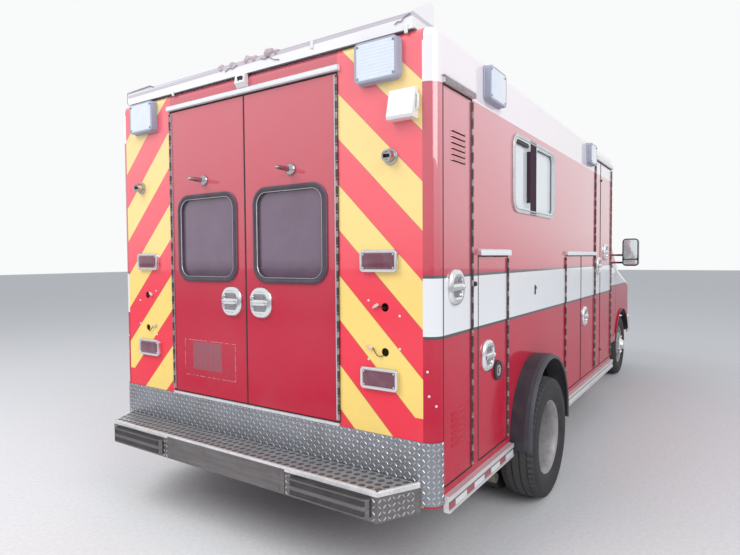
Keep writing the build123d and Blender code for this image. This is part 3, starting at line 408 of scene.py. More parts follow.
def rubber(f, colour=(0.04, 0.038, 0.042), rough=0.62, dust=(0.16, 0.15, 0.145)):
    """Weathered black rubber with pale dust."""
    haze = f.noise(12.0, 5.0, 0.6).ramp(0.4, 0.8)
    grain = f.noise(420.0, 2.0)
    f.set(Base_Color=f.mix(colour, dust, haze * 0.3 + grain.ramp(0.6, 0.9) * 0.12),
          Roughness=rough + haze * 0.15, Specular_IOR_Level=0.35)
    f.bump(grain, 0.16, 0.0006)


def tyre_rubber(f):
    """Tyre black with rings moulded in the sidewall, worn grey tread and dust."""
    x, y, z = f.axes()
    front = x > 0.4
    along = x - (front * (AXLES["front"] - AXLES["rear"]) + AXLES["rear"])
    height = z - AXLE_Z
    radius = (along * along + height * height).math("SQRT")
    rings = (radius * 190.0).fract().ramp(0.0, 0.35)
    side = 1.0 - radius.ramp(0.318, 0.33)
    dust = f.noise(16.0, 5.0, 0.65).ramp(0.35, 0.8)
    tread = radius.ramp(0.345, 0.372)
    base = f.mix((0.026, 0.025, 0.028), (0.1, 0.095, 0.095), tread * 0.75 + dust * 0.28)
    f.set(Base_Color=f.mix(base, (0.23, 0.205, 0.18), (1.0 - radius.ramp(0.2, 0.26)) * dust * 0.35),
          Roughness=0.66 + dust * 0.2, Specular_IOR_Level=0.3)
    f.bump(rings * side * 0.6 + f.noise(300.0, 2.0) * 0.25, 0.35, 0.0012)


def rim_paint(f):
    """Pale grey enamelled steel with brake dust and rust specks."""
    dust = f.noise(20.0, 5.0, 0.65)
    rust = f.noise(70.0, 5.0, 0.7).ramp(0.66, 0.78)
    colour = f.mix((0.36, 0.35, 0.36), (0.17, 0.15, 0.15), dust.ramp(0.35, 0.75) * 0.6)
    f.set(Base_Color=f.mix(colour, (0.19, 0.07, 0.03), rust * 0.7), Metallic=0.15,
          Roughness=0.36 + dust.ramp(0.3, 0.7) * 0.25)
    f.bump(dust, 0.1, 0.001)


def plastic(f, colour, rough=0.42, rise=0.1, speck=(0.3, 0.3, 0.3)):
    """Moulded plastic with a fine grain."""
    grain = f.noise(350.0, 2.0)
    marks = f.noise(11.0, 4.0, 0.6).ramp(0.5, 0.85)
    f.set(Base_Color=f.mix(colour, speck, marks * 0.22), Roughness=rough + marks * 0.16)
    f.bump(grain, rise, 0.0005)


def lens(f, colour, rough=0.08, pitch=0.0, depth=0.5):
    """Clear-coated lens with moulded ribs of that pitch."""
    x, y, z = f.axes()
    film = f.noise(18.0, 4.0, 0.6).ramp(0.45, 0.85)
    f.set(Base_Color=f.mix(colour, tuple(0.5 * c + 0.18 for c in colour), film * 0.35),
          Roughness=rough + film * 0.12, Coat_Weight=1.0, Coat_Roughness=0.06)
    if pitch:
        rib = abs((z / pitch).fract() - 0.5)
        f.bump(rib, depth, 0.002)


def dark_glass(f):
    """Smoked glass of the rear doors with a faint film of dust and a painted sky reflection above."""
    film = f.noise(6.0, 5.0, 0.6).ramp(0.3, 0.9)
    x, y, z = f.axes()
    # Paler colour: the dust film, and above about 1.45 m a painted reflection of the sky
    f.set(Base_Color=f.mix((0.085, 0.045, 0.08), (0.185, 0.13, 0.185),
                           film * 0.4 + z.ramp(1.42, 1.5) * 0.6), Roughness=0.05 + film * 0.1,
          Coat_Weight=0.5, Coat_Roughness=0.03)


def clear_glass(f):
    """Lightly tinted glass: partly see-through."""
    film = f.noise(5.0, 4.0, 0.6).ramp(0.35, 0.9)
    f.set(Base_Color=f.mix((0.2, 0.25, 0.26), (0.42, 0.46, 0.47), film * 0.5), Roughness=0.03 + film * 0.08,
          Alpha=0.5 + film * 0.1, Coat_Weight=1.0, Coat_Roughness=0.02)


def window_glass(f):
    """Side window glass, pale as a painted sky reflection over dust, with the dark bar between its panes.
    """
    x, y, z = f.axes()
    film = f.noise(5.0, 4.0, 0.6).ramp(0.35, 0.9)
    # Dark bar: the sash frame's colour with painted shade in its depth. The pale pane is a painted
    # reflection of the sky over a film of dust.
    mullion_and_shade = x.between(REAR + 1.2445, REAR + 1.3685)
    pane = f.mix((0.8, 0.86, 0.89), (0.88, 0.9, 0.92), film * 0.6)
    f.set(Base_Color=f.mix(pane, (0.06, 0.036, 0.052), mullion_and_shade),
          Roughness=0.04 + film * 0.1 + mullion_and_shade * 0.8, Alpha=mullion_and_shade | 0.86, Coat_Weight=1.0 - mullion_and_shade,
          Coat_Roughness=0.02, Coat_IOR=1.85, Specular_IOR_Level=0.08)


def hinge_dashes(f):
    """Hinge knuckles painted dark as the shade of the door gap, with every other one worn pale."""
    x, y, z = f.axes()
    worn = ((z / 0.08).fract() < 0.36) * f.noise(25.0, 4.0).ramp(0.3, 0.6)
    # The dark base colour is painted shade of the door gap along the hinge
    f.set(Base_Color=f.mix((0.075, 0.062, 0.068), (0.42, 0.34, 0.35), worn), Metallic=0.55,
          Roughness=0.36 + worn * 0.12)
    f.bump(f.noise(160.0, 3.0), 0.1, 0.0006)


def fitting_finish(f):
    """Rear fittings: white enamel above, bare bright metal on the catches below."""
    x, y, z = f.axes()
    steel = z < 2.05
    marks = f.noise(30.0, 5.0, 0.6).ramp(0.55, 0.85)
    f.set(Base_Color=f.mix(f.mix((0.8, 0.8, 0.81), (0.52, 0.5, 0.47), marks * 0.35), (0.62, 0.62, 0.64),
                           steel), Metallic=steel, Roughness=0.26 + marks * 0.2,
          Coat_Weight=(1.0 - steel) * 0.5)


def mirror_glass(f):
    """Silvered glass with a faint film."""
    film = f.noise(14.0, 5.0, 0.6).ramp(0.4, 0.9)
    f.set(Base_Color=f.mix((0.8, 0.87, 0.88), (0.66, 0.71, 0.72), film * 0.5), Metallic=0.45,
          Roughness=0.05 + film * 0.16)


def chassis_black(f):
    """Satin black frame paint with road dirt and rust."""
    mud = f.noise(7.0, 6.0, 0.65).ramp(0.4, 0.75)
    rust = f.noise(32.0, 6.0, 0.7).ramp(0.55, 0.75)
    colour = f.mix(f.mix((0.03, 0.03, 0.032), (0.15, 0.13, 0.11), mud * 0.5), (0.16, 0.06, 0.028),
                   rust * 0.55)
    f.set(Base_Color=colour, Roughness=0.5 + mud * 0.3, Metallic=0.1)
    f.bump(rust + mud, 0.25, 0.0012)


def cast_metal(f):
    """Grey iron and alloy castings with oil stains and rust."""
    stain = f.noise(9.0, 6.0, 0.65).ramp(0.42, 0.72)
    rust = f.noise(40.0, 6.0, 0.7).ramp(0.52, 0.74)
    f.set(Base_Color=f.mix(f.mix((0.2, 0.2, 0.205), (0.045, 0.04, 0.036), stain * 0.7), (0.21, 0.085, 0.04),
                           rust * 0.5), Metallic=0.55, Roughness=0.5 + stain * 0.2)
    f.bump(f.noise(160.0, 4.0), 0.3, 0.0012)


def exhaust_steel(f):
    """Heat-browned aluminised pipe."""
    rust = f.noise(14.0, 6.0, 0.7).ramp(0.38, 0.66)
    f.set(Base_Color=f.mix((0.34, 0.32, 0.3), (0.2, 0.09, 0.045), rust * 0.8), Metallic=0.8 - rust * 0.4,
          Roughness=0.42 + rust * 0.35)
    f.bump(rust, 0.3, 0.001)


def seat_vinyl(f):
    """Grained grey vinyl with sewn lines."""
    x, y, z = f.axes()
    seam = abs((y * 12.5).fract() - 0.5)
    f.set(Base_Color=f.mix((0.15, 0.15, 0.165), (0.24, 0.24, 0.255),
                           f.noise(8.0, 4.0).ramp(0.4, 0.8) * 0.5), Roughness=0.55)
    f.bump(f.cells(260.0).ramp(0.0, 0.12) * 0.4 + seam.ramp(0.0, 0.05) * 0.8, 0.4, 0.002)


def floor_vinyl(f):
    """Speckled grey sheet floor."""
    fleck = f.noise(240.0, 2.0).ramp(0.58, 0.66)
    f.set(Base_Color=f.mix((0.25, 0.26, 0.28), (0.55, 0.55, 0.56), fleck * 0.5),
          Roughness=0.46 + f.noise(6.0).ramp(0.3, 0.8) * 0.2)
    f.bump(fleck, 0.08, 0.0005)


def warning_tape(f):
    """Pale tape with dull red lengths, fewer towards the front, under the groove's dark upper edge."""
    x, y, z = f.axes()
    red = (((x + 2.93) / 0.215).fract() < 0.42) & (x < -2.0)
    colour = f.mix((0.7, 0.7, 0.71), (0.34, 0.03, 0.05), red)
    f.set(Base_Color=f.mix(colour, (0.055, 0.05, 0.055), z > 0.4125), Roughness=0.34, Coat_Weight=0.5,
          Coat_Roughness=0.12)
    f.bump(f.cells(160.0).ramp(0.0, 0.1), 0.15, 0.0005)


def side_metal(x, y, z):
    """Hardware that stands proud of a side door's skin."""
    return abs(y) > HALF + 0.0005


def rear_metal(x, y, z):
    """Hardware that stands proud of a rear door's skin."""
    return x < REAR - 0.0005


def cab_door_colour(f, x, y, z):
    """Body colours, with black plastic on the mirror beyond the door's skin."""
    return f.mix(striped(f, x, y, z), (0.03, 0.03, 0.033), abs(y) > 1.04)


# Name of each finish, its maker and the maker's values
MAKERS = {
    "body_paint": (painted_shell, striped),
    "side_door_paint": (painted_shell, striped, 0.16, side_metal, (0.27, 0.2, 0.21)),
    "rear_door_paint": (painted_shell, rear_door_colour, 0.16, rear_metal),
    "band_sheet": (painted_shell, slanted, 0.35),
    "red_paint": (painted_shell, plain_red),
    "roof_paint": (painted_shell, roof_colour, 0.3),
    "tray_paint": (painted_shell, tray_colour, 0.4),
    "cab_door_paint": (painted_shell, cab_door_colour),
    "hinge_steel": (chrome, (0.62, 0.62, 0.64), 0.24),
    "catch_steel": (chrome, (0.46, 0.44, 0.46), 0.16),
    "cup_steel": (chrome, (0.36, 0.36, 0.38), 0.22),
    "rail_aluminium": (brushed, (0.78, 0.78, 0.79), (0.05, 1.0, 1.0), 0.26, 0.4),
    "frame_aluminium": (brushed, (0.6, 0.61, 0.63), (0.05, 1.0, 1.0), 0.22),
    "lozenge_metal": (brushed, (0.62, 0.63, 0.67), (1.0, 1.0, 1.0), 0.2),
    "locker_sheet": (brushed, (0.55, 0.56, 0.58), (1.0, 1.0, 0.06), 0.34),
    "step_sheet": (brushed, (0.6, 0.61, 0.63), (1.0, 0.05, 1.0), 0.34),
    "dark_sheet": (brushed, (0.17, 0.155, 0.155), (1.0, 0.05, 1.0), 0.4, 0.9, (0.1, 0.09, 0.085)),
    "gasket": (rubber, (0.072, 0.054, 0.074), 0.46),
    "seal_rubber": (rubber, (0.05, 0.035, 0.04), 0.55),
    "flare_rubber": (rubber, (0.048, 0.048, 0.062), 0.46),
    # Lighter rubber of the flares' inner lips: a painted highlight along their edge
    "lip_highlight_rubber": (rubber, (0.135, 0.13, 0.145), 0.5),
    "buffer_core": (plastic, (0.4, 0.34, 0.36), 0.5, 0.2, (0.6, 0.5, 0.5)),
    "torn_foam": (plastic, (0.52, 0.42, 0.47), 0.9, 0.6, (0.7, 0.64, 0.66)),
    "plug_plastic": (plastic, (0.72, 0.52, 0.48), 0.45, 0.1, (0.8, 0.7, 0.55)),
    # Grey-blue of the warning lamps' flanks: painted shade on their pale lens bodies
    "shaded_flank_grey": (plastic, (0.36, 0.38, 0.48)),
    "black_plastic": (plastic, (0.03, 0.03, 0.033), 0.5, 0.1, (0.1, 0.1, 0.1)),
    "dash_plastic": (plastic, (0.075, 0.075, 0.082), 0.6, 0.3, (0.14, 0.14, 0.14)),
    "white_plastic": (plastic, (0.78, 0.78, 0.77), 0.35, 0.1, (0.5, 0.49, 0.45)),
    "red_lens": (lens, (0.135, 0.02, 0.05), 0.1),
    "pale_lens": (lens, (0.68, 0.74, 0.84), 0.14, 0.013, 0.15),
    "head_lens": (lens, (0.62, 0.65, 0.68), 0.05, 0.016, 0.5),
    "amber_lens": (lens, (0.72, 0.22, 0.02), 0.1, 0.01, 0.4),
    **{maker.__name__: (maker,) for maker in (
        lip_paint, chrome, tread_plate, rubber, hinge_dashes, fitting_finish, mirror_glass, window_glass,
        tyre_rubber, rim_paint, dark_glass, clear_glass, chassis_black, cast_metal, exhaust_steel,
        seat_vinyl, floor_vinyl, warning_tape)},
}


# Finishes of the CAD nodes
NODE_FINISH = {node: name for name, nodes in {
    "body_paint": "corner_posts module_wall_right module_wall_left module_front_wall "
                  "cab_shell cab_fenders hood",
    "side_door_paint": " ".join(row[0] for row in SIDE_DOORS),
    "rear_door_paint": "rear_door_right rear_door_left",
    "cab_door_paint": "cab_door_right cab_door_left",
    "red_paint": "rear_frame",
    "band_sheet": "rear_panels",
    "roof_paint": "module_roof",
    "tray_paint": "roof_tray",
    "floor_vinyl": "module_floor",
    "locker_sheet": "lockers_right lockers_left",
    "window_glass": "side_window",
    "rail_aluminium": "trim_rails",
    "flare_rubber": "fender_flares",
    "tread_plate": "rear_kick_plate",
    "dark_sheet": "rear_step",
    "shaded_flank_grey": "warning_lights",
    "fitting_finish": "rear_fittings",
    "chassis_black": "frame_rails crossmembers rear_axle front_axle",
    "cast_metal": "engine_block drivetrain knuckle_right knuckle_left",
    "black_plastic": "fuel_tank grille",
    "exhaust_steel": "exhaust",
    "clear_glass": "windscreen cab_door_glass_right cab_door_glass_left",
    "dark_glass": "rear_door_glass_right rear_door_glass_left",
    "chrome": "front_bumper",
    "seat_vinyl": "seats",
    "dash_plastic": "dashboard steering_wheel",
    "tyre_rubber": "front_wheel_right front_wheel_left rear_wheels_right rear_wheels_left",
}.items() for node in nodes.split()}


# Mesh building
def rounded(width, height, radius, corner, inset=0.0):
    """Rounded rectangle about the origin, counterclockwise; an inset keeps the count of its points."""
    a, b = width / 2 - inset, height / 2 - inset
    r = max(min(radius - inset, a, b), 0.0002)
    points = []
    for cx, cy, start in ((a - r, b - r, 0), (r - a, b - r, 90), (r - a, r - b, 180), (a - r, r - b, 270)):
        for step in range(corner + 1):
            angle = math.radians(start + 90 * step / corner)
            points.append((cx + r * math.cos(angle), cy + r * math.sin(angle)))
    return points


def circle(radius, count, start=0.0):
    """Points round the origin; start turns them by a part of their pitch."""
    angles = [math.tau * (i + start) / count for i in range(count)]
    return [(radius * math.cos(angle), radius * math.sin(angle)) for angle in angles]


class Shape:
    """A mesh under construction, in a local frame (u, v, w) placed by a matrix."""

    def __init__(self, place=None):
        self.bm = bmesh.new()
        self.place = place or Matrix()

    def loft(self, loops, start=True, end=True, ring=False):
        """Join loops of equal length with quads; close the ends with faces, or join them as a ring."""
        rows = [[self.bm.verts.new(self.place @ Vector(p)) for p in loop] for loop in loops]
        pairs = list(zip(rows, rows[1:])) + ([(rows[-1], rows[0])] if ring else [])
        count = len(rows[0])
        for low, high in pairs:
            for i in range(count):
                j = (i + 1) % count
                self.bm.faces.new((low[i], low[j], high[j], high[i]))
        if not ring:
            if start:
                self.bm.faces.new(rows[0][::-1])
            if end:
                self.bm.faces.new(rows[-1])
        return self

    def plate(self, size, steps, at=(0.0, 0.0), **ends):
        """Loft of a rounded rectangle; size as in rounded(), steps are (inset, w)."""
        return self.loft([[(u + at[0], v + at[1], w) for u, v in rounded(*size, inset)]
                          for inset, w in steps], **ends)

    def turn(self, profile, count=24, at=(0.0, 0.0), **ends):
        """Turned about w: profile points are (radius, w)."""
        return self.loft([[(u + at[0], v + at[1], w) for u, v in circle(max(r, 0.0001), count)]
                          for r, w in profile], **ends)

    def bar(self, path, radius, count=8):
        """Round bar along points in the local frame."""
        path = [Vector(p) for p in path]
        loops = []
        side = None
        for i, point in enumerate(path):
            way = (path[min(i + 1, len(path) - 1)] - path[max(i - 1, 0)]).normalized()
            if side is None:
                side = way.orthogonal().normalized()
            side = (side - way * side.dot(way)).normalized()
            other = way.cross(side)
            loops.append([point + c * side + s * other for c, s in circle(radius, count)])
        return self.loft(loops)

    def rim(self, outline, radius, w, count=8):
        """Round bead that follows a closed outline."""
        points = [Vector((u, v, w)) for u, v in outline]
        total = len(points)
        loops = []
        for i, point in enumerate(points):
            way = (points[(i + 1) % total] - points[i - 1]).normalized()
            out = Vector((way.y, -way.x, 0))
            loops.append([point + c * out + Vector((0, 0, s)) for c, s in circle(radius, count)])
        return self.loft(loops, ring=True)

    def piece(self, name, material, slot, body="root", sharp=35):
        """Finish the mesh as an object that rides on a body."""
        bmesh.ops.recalc_face_normals(self.bm, faces=self.bm.faces)
        limit = math.radians(sharp)
        for face in self.bm.faces:
            face.smooth = True
        for edge in self.bm.edges:
            if len(edge.link_faces) == 2 and edge.calc_face_angle(0.0) > limit:
                edge.smooth = False
        mesh = bpy.data.meshes.new(name)
        self.bm.to_mesh(mesh)
        self.bm.free()
        mesh.materials.append(finish(material))
        obj = bpy.data.objects.new(name, mesh)
        bpy.context.scene.collection.objects.link(obj)
        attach(obj, body)
        return obj


def on_side(side, fwd, z, out=0.0):
    """Frame on a side wall: u forward on the right and backward on the left, v up, w outwards."""
    return Matrix(((-side, 0, 0, REAR + fwd), (0, 0, side, side * (HALF + out)), (0, 1, 0, z),
                   (0, 0, 0, 1)))


def on_rear(y, z, out=0.0):
    """Frame on the rear face: u to the vehicle's right, v up, w backwards."""
    return Matrix(((0, 0, -1, REAR - out), (-1, 0, 0, y), (0, 1, 0, z), (0, 0, 0, 1)))


def on_axle(axle, side, mid):
    """Frame on a wheel: w outwards along the axle from the tyre's middle plane."""
    return Matrix(((-side, 0, 0, AXLES[axle]), (0, 0, side, side * mid), (0, 1, 0, AXLE_Z), (0, 0, 0, 1)))


def on_mirror(side):
    """Frame on the back of a mirror head, facing rearwards."""
    return Matrix(((0, 0, -1, 1.87), (-1, 0, 0, side * 1.19), (0, 1, 0, 1.5425), (0, 0, 0, 1)))


def on_nose(y, z, x, turn=0.0):
    """Frame on a front face: w forwards and turned outwards by an angle, v up."""
    face = Matrix(((0, 0, 1, 0), (1, 0, 0, 0), (0, 1, 0, 0), (0, 0, 0, 1)))
    return Matrix.Translation((x, y, z)) @ Matrix.Rotation(turn, 4, "Z") @ face


def doorways():
    """Openings of the side walls: side, rear edge, front edge, bottom, top; leaves that meet share one."""
    rows = []
    for name, side, back, front, bottom, top, *rest in SIDE_DOORS:
        if rows and rows[-1][0] == side and rows[-1][2] == back:
            rows[-1][2] = front
        else:
            rows.append([side, back, front, bottom - 0.006, top + 0.006])
    return rows


# Operators
class AMBULANCE_OT_stage(bpy.types.Operator):
    """Make the pale floor, the soft light and the camera at the photograph's viewpoint"""
    bl_idname = "ambulance.stage"
    bl_label = "Stage"

    def execute(self, context):
        s = context.scene.ambulance_stage
        mesh = bpy.data.meshes.new("floor")
        size = 60.0
        mesh.from_pydata([(-size, -size, 0), (size, -size, 0), (size, size, 0), (-size, size, 0)], [],
                         [(0, 1, 2, 3)])
        floor = bpy.data.objects.new("floor", mesh)
        context.scene.collection.objects.link(floor)
        f = Finish("floor_pale")
        grain = f.noise(40.0, 4.0)
        f.set(Base_Color=f.mix(s.floor, tuple(c * 0.9 for c in s.floor), grain.ramp(0.3, 0.7)),
              Roughness=0.85, Specular_IOR_Level=0.2)
        mesh.materials.append(f.material)

        world = bpy.data.worlds.new("soft_sky")
        context.scene.world = world
        sky = Graph(world)
        sky.tree.nodes.clear()
        eye, gloss, through = (sky.node("ShaderNodeLightPath", {}, out=f"Is {kind} Ray")
                               for kind in ("Camera", "Glossy", "Transmission"))
        light = sky.node("ShaderNodeBackground", {}, (0.9, 0.94, 1.0), s.sky)
        seen = sky.node("ShaderNodeBackground", {}, (0.95, 0.955, 0.96), 1.0)
        mixed = sky.node("ShaderNodeMixShader", {}, eye | gloss | through, light, seen)
        sky.node("ShaderNodeOutputWorld", {}, mixed)

        for name, place, target, size, power, mirrored in (
            ("key", (-7.5, 3.0, 7.5), (-1.5, 0, 1.0), 6.0, s.key, False),
            ("fill", (-4.5, -8.0, 6.0), (-0.5, -0.5, 1.0), 6.0, s.key * 0.75, True),
        ):
            data = bpy.data.lights.new(name, "AREA")
            data.size = size
            data.energy = power
            lamp = bpy.data.objects.new(name, data)
            lamp.visible_glossy = mirrored
            lamp.location = place
            lamp.rotation_euler = (Vector(target) - Vector(place)).to_track_quat("-Z", "Y").to_euler()
            context.scene.collection.objects.link(lamp)

        data = bpy.data.cameras.new("camera")
        data.lens = s.lens
        data.sensor_width = 36.0
        data.clip_start = 0.05
        data.clip_end = 300.0
        camera = bpy.data.objects.new("camera", data)
        # Right, up and back of the view
        place = Matrix(((0.5552, -0.8313, -0.007), (0.0338, 0.0142, 0.9993), (-0.8306, -0.555, 0.036)))
        place = place.transposed().to_4x4()
        place.translation = (-5.067, -2.204, 1.5)
        camera.matrix_world = place
        context.scene.collection.objects.link(camera)
        context.scene.camera = camera
        context.scene.view_settings.view_transform = "Standard"
        return {"FINISHED"}


class AMBULANCE_OT_finishes(bpy.types.Operator):
    """Give every CAD node its finish"""
    bl_idname = "ambulance.finishes"
    bl_label = "Finishes"

    def execute(self, context):
        for name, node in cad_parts.items():
            node.data.materials.clear()
            node.data.materials.append(finish(NODE_FINISH[name]))
        return {"FINISHED"}


class AMBULANCE_OT_handles(bpy.types.Operator):
    """Chromed paddle handles: a domed oval bezel, a cup with its lock and a bar"""
    bl_idname = "ambulance.handles"
    bl_label = "Door handles"

    def execute(self, context):
        spots = [(name, on_side(side, *handle)) for name, side, *rest, handle in SIDE_DOORS if handle]
        spots += [(f"rear_door_{word}", on_rear(side * 0.112, 1.265)) for word, side in DOOR_SIDE.items()]
        oval, mouth = (0.156, 0.166, 0.066, 8), (0.102, 0.096, 0.02, 8)
        rows = [(oval, 0, 0.0), (oval, 0, 0.005), (oval, 0.002, 0.0105), (oval, 0.008, 0.0155),
                (oval, 0.015, 0.018), (oval, 0.024, 0.019), (mouth, -0.002, 0.0182), (mouth, 0.001, 0.0165),
                (mouth, 0.003, 0.0108)]
        for body, place in spots:
            shape = Shape(place)
            shape.loft([[(u, v, w) for u, v in rounded(*size, inset)] for size, inset, w in rows], **OPEN)
            shape.piece(f"handle_bezel_{body}", "chrome", "chrome_fittings", body)
            # The cup is darker steel than the bezel and paddle: painted shade of the recess
            cup = Shape(place)
            cup.plate((0.098, 0.092, 0.018, 7), [(0, 0.0104), (0.002, 0.0108)], start=False)
            cup.turn([(0.007, 0.01), (0.007, 0.0135), (0.0055, 0.0145)], 12, (0.022, 0.03))
            cup.piece(f"handle_cup_{body}", "cup_steel", "chrome_fittings", body)
            paddle = Shape(place)
            paddle.loft([[(x, y * k, z) for y, z in ((-0.0155, 0.011), (-0.0155, 0.019), (-0.0115, 0.0223),
                                                     (0.0, 0.0233), (0.0115, 0.0223), (0.0155, 0.019),
                                                     (0.0155, 0.011))]
                         for x, k in ((-0.062, 0.72), (-0.058, 0.92), (-0.036, 1.0), (0.024, 1.0),
                                      (0.046, 0.95), (0.056, 0.86), (0.062, 0.6))])
            paddle.turn([(0.0105, 0.017), (0.0105, 0.024), (0.0085, 0.0258), (0.004, 0.0262)], 14,
                        (0.05, 0.0))
            paddle.piece(f"handle_paddle_{body}", "chrome", "chrome_fittings", body)
        return {"FINISHED"}


class AMBULANCE_OT_hinges(bpy.types.Operator):
    """Piano hinges with separate knuckles on every module door"""
    bl_idname = "ambulance.hinges"
    bl_label = "Piano hinges"

    def execute(self, context):
        h = context.scene.ambulance_hardware
        spots = []
        for name, side, back, front, bottom, top, hinge, *rest in SIDE_DOORS:
            edge = front - 0.003 if hinge == "front" else back + 0.003
            spots.append((name, Vector((REAR + edge, side * (HALF + 0.006), bottom + 0.008)),
                          top - bottom - 0.016))
        for word, side in DOOR_SIDE.items():
            spots.append((f"rear_door_{word}", Vector((REAR - 0.006, side * 0.624, 0.718)), 1.645))
        for body, foot, length in spots:
            shape = Shape(Matrix.Translation(foot))
            count = round(length / h.knuckle)
            step, gap, groove = length / count, 0.0018, 0.0022
            profile = []
            for i in range(count):
                low, high = i * step, (i + 1) * step
                r = h.hinge_radius + (0.0004 if i % 2 else 0.0)
                profile += [(r - groove, low), (r, low + gap), (r, high - gap), (r - groove, high)]
            shape.turn(profile, 10)
            shape.piece(f"hinge_knuckles_{body}", "hinge_dashes", "chrome_fittings", body)
        return {"FINISHED"}


class AMBULANCE_OT_rear_windows(bpy.types.Operator):
    """Rubber gaskets with a bright locking strip round the rear panes"""
    bl_idname = "ambulance.rear_windows"
    bl_label = "Rear window gaskets"

    def execute(self, context):
        for word, side in DOOR_SIDE.items():
            body = f"rear_door_{word}"
            place = on_rear(side * 0.312, 1.622)
            size = (0.492, 0.498, 0.09, 10)
            gasket = Shape(place)
            gasket.plate(size, [(-0.002, 0.0), (-0.002, 0.007), (0.001, 0.0105), (0.008, 0.0125),
                                (0.015, 0.0115), (0.0185, 0.0085), (0.0205, 0.0095), (0.024, 0.009),
                                (0.0265, 0.007), (0.0285, 0.003), (0.029, -0.0075)], **OPEN)
            gasket.piece(f"window_gasket_{word}", "gasket", "dark_glass", body)
            strip = Shape(place)
            strip.rim(rounded(*size, 0.0262), 0.002, 0.007, 6)
            strip.piece(f"window_strip_{word}", "hinge_steel", "dark_glass", body)
        return {"FINISHED"}


class AMBULANCE_OT_side_window(bpy.types.Operator):
    """Aluminium frame and rubber seal of the side window"""
    bl_idname = "ambulance.side_window"
    bl_label = "Side window"

    def execute(self, context):
        place = on_side(RIGHT, 1.37, 1.9835)
        size = (0.84, 0.453, 0.08, 10)
        sash = Shape(place)
        sash.plate(size, [(-0.001, 0.0), (-0.001, 0.007), (0.002, 0.01), (0.0085, 0.0105), (0.0105, 0.007),
                          (0.0125, 0.007), (0.0145, 0.012), (0.02, 0.013), (0.024, 0.011), (0.0255, 0.004),
                          (0.0265, -0.01)], **OPEN)
        sash.piece("side_window_frame", "frame_aluminium", "window_frame")
        seal = Shape(place)
        seal.rim(rounded(*size, 0.03), 0.0042, -0.0095, 6)
        seal.plate((0.3, 0.018, 0.003, 2), [(0, -0.012), (0, 0.003), (0.003, 0.005)], at=(-0.235, 0.186))
        seal.piece("side_window_seal", "seal_rubber", "window_frame")
        return {"FINISHED"}


class AMBULANCE_OT_rear_lamps(bpy.types.Operator):
    """Chromed bezels, dark red lenses and screws of the four rear lamps"""
    bl_idname = "ambulance.rear_lamps"
    bl_label = "Rear lamps"

    def execute(self, context):
        for word, side in DOOR_SIDE.items():
            for level, z in (("upper", 1.485), ("lower", 0.948)):
                place = on_rear(side * 0.86, z)
                bezel = Shape(place)
                bezel.plate((0.202, 0.102, 0.02, 5), [(0, 0.0), (0, 0.013), (0.003, 0.0185), (0.007, 0.02),
                                                      (0.0105, 0.0192), (0.0125, 0.015)], **OPEN)
                for u in (-0.08, 0.08):
                    for v in (-0.03, 0.03):
                        bezel.turn([(0.0038, 0.017), (0.0038, 0.02), (0.002, 0.0208)], 8, (u, v))
                bezel.piece(f"rear_lamp_bezel_{level}_{word}", "chrome", "chrome_fittings")
                glass = Shape(place)
                glass.plate((0.178, 0.078, 0.01, 4), [(0, 0.0135), (0, 0.0165), (0.003, 0.0182),
                                                      (0.014, 0.0188), (0.032, 0.019)])
                glass.piece(f"rear_lamp_lens_{level}_{word}", "red_lens", "chrome_fittings")
        return {"FINISHED"}


class AMBULANCE_OT_warning_lights(bpy.types.Operator):
    """Ribbed lenses, rims and screws of the ten warning lights"""
    bl_idname = "ambulance.warning_lights"
    bl_label = "Warning lights"

    def execute(self, context):
        spots = []
        for word, side in DOOR_SIDE.items():
            spots.append((f"rear_{word}", on_rear(side * 0.865, 2.374), 0.226, 0.18))
            for end, fwd in (("back", 0.635), ("fore", 2.905)):
                spots.append((f"side_{end}_{word}", on_side(side, fwd, 2.37), 0.23, 0.17))
            for lane, y in (("inner", 0.445), ("outer", 0.855)):
                spots.append((f"front_{lane}_{word}", on_nose(side * y, 2.325, 0.975), 0.23, 0.18))
        for name, place, width, height in spots:
            # The rims carry the grey-blue of the lamps' flanks: painted shade on a pale lens body
            rim = Shape(place)
            rim.plate((width + 0.002, height + 0.002, 0.024, 5),
                      [(-0.003, 0.0), (-0.003, 0.006), (0.0, 0.009), (0.0, 0.03), (0.003, 0.0365),
                       (0.007, 0.0388), (0.01, 0.0388)], start=False)
            rim.piece(f"warning_rim_{name}", "shaded_flank_grey", "clear_lens")
            screws = Shape(place)
            for u in (-1, 1):
                for v in (-1, 1):
                    screws.turn([(0.0062, 0.038), (0.0062, 0.0412), (0.0048, 0.0422), (0.004, 0.0412)], 10,
                                (u * (width / 2 - 0.019), v * (height / 2 - 0.019)))
            screws.piece(f"warning_screws_{name}", "cup_steel", "clear_lens")
            glass = Shape(place)
            a, b = (width - 0.02) / 2, (height - 0.02) / 2
            count = round(2 * b / 0.014)
            pitch, foot, face = 2 * b / count, 0.036, 0.0392
            profile = [(-b + (i + t) * pitch, face + 0.0008 * math.sin(math.pi * t)) for i in range(count)
                       for t in (0.0, 0.25, 0.5, 0.75)]
            profile.append((b, face))
            glass.loft([[(u, -b, foot)] + [(u, v, w - drop) for v, w in profile] + [(u, b, foot)]
                        for u, drop in ((-a, 0.002), (-a + 0.006, 0.0), (a - 0.006, 0.0), (a, 0.002))])
            glass.piece(f"warning_lens_{name}", "pale_lens", "clear_lens")
        return {"FINISHED"}


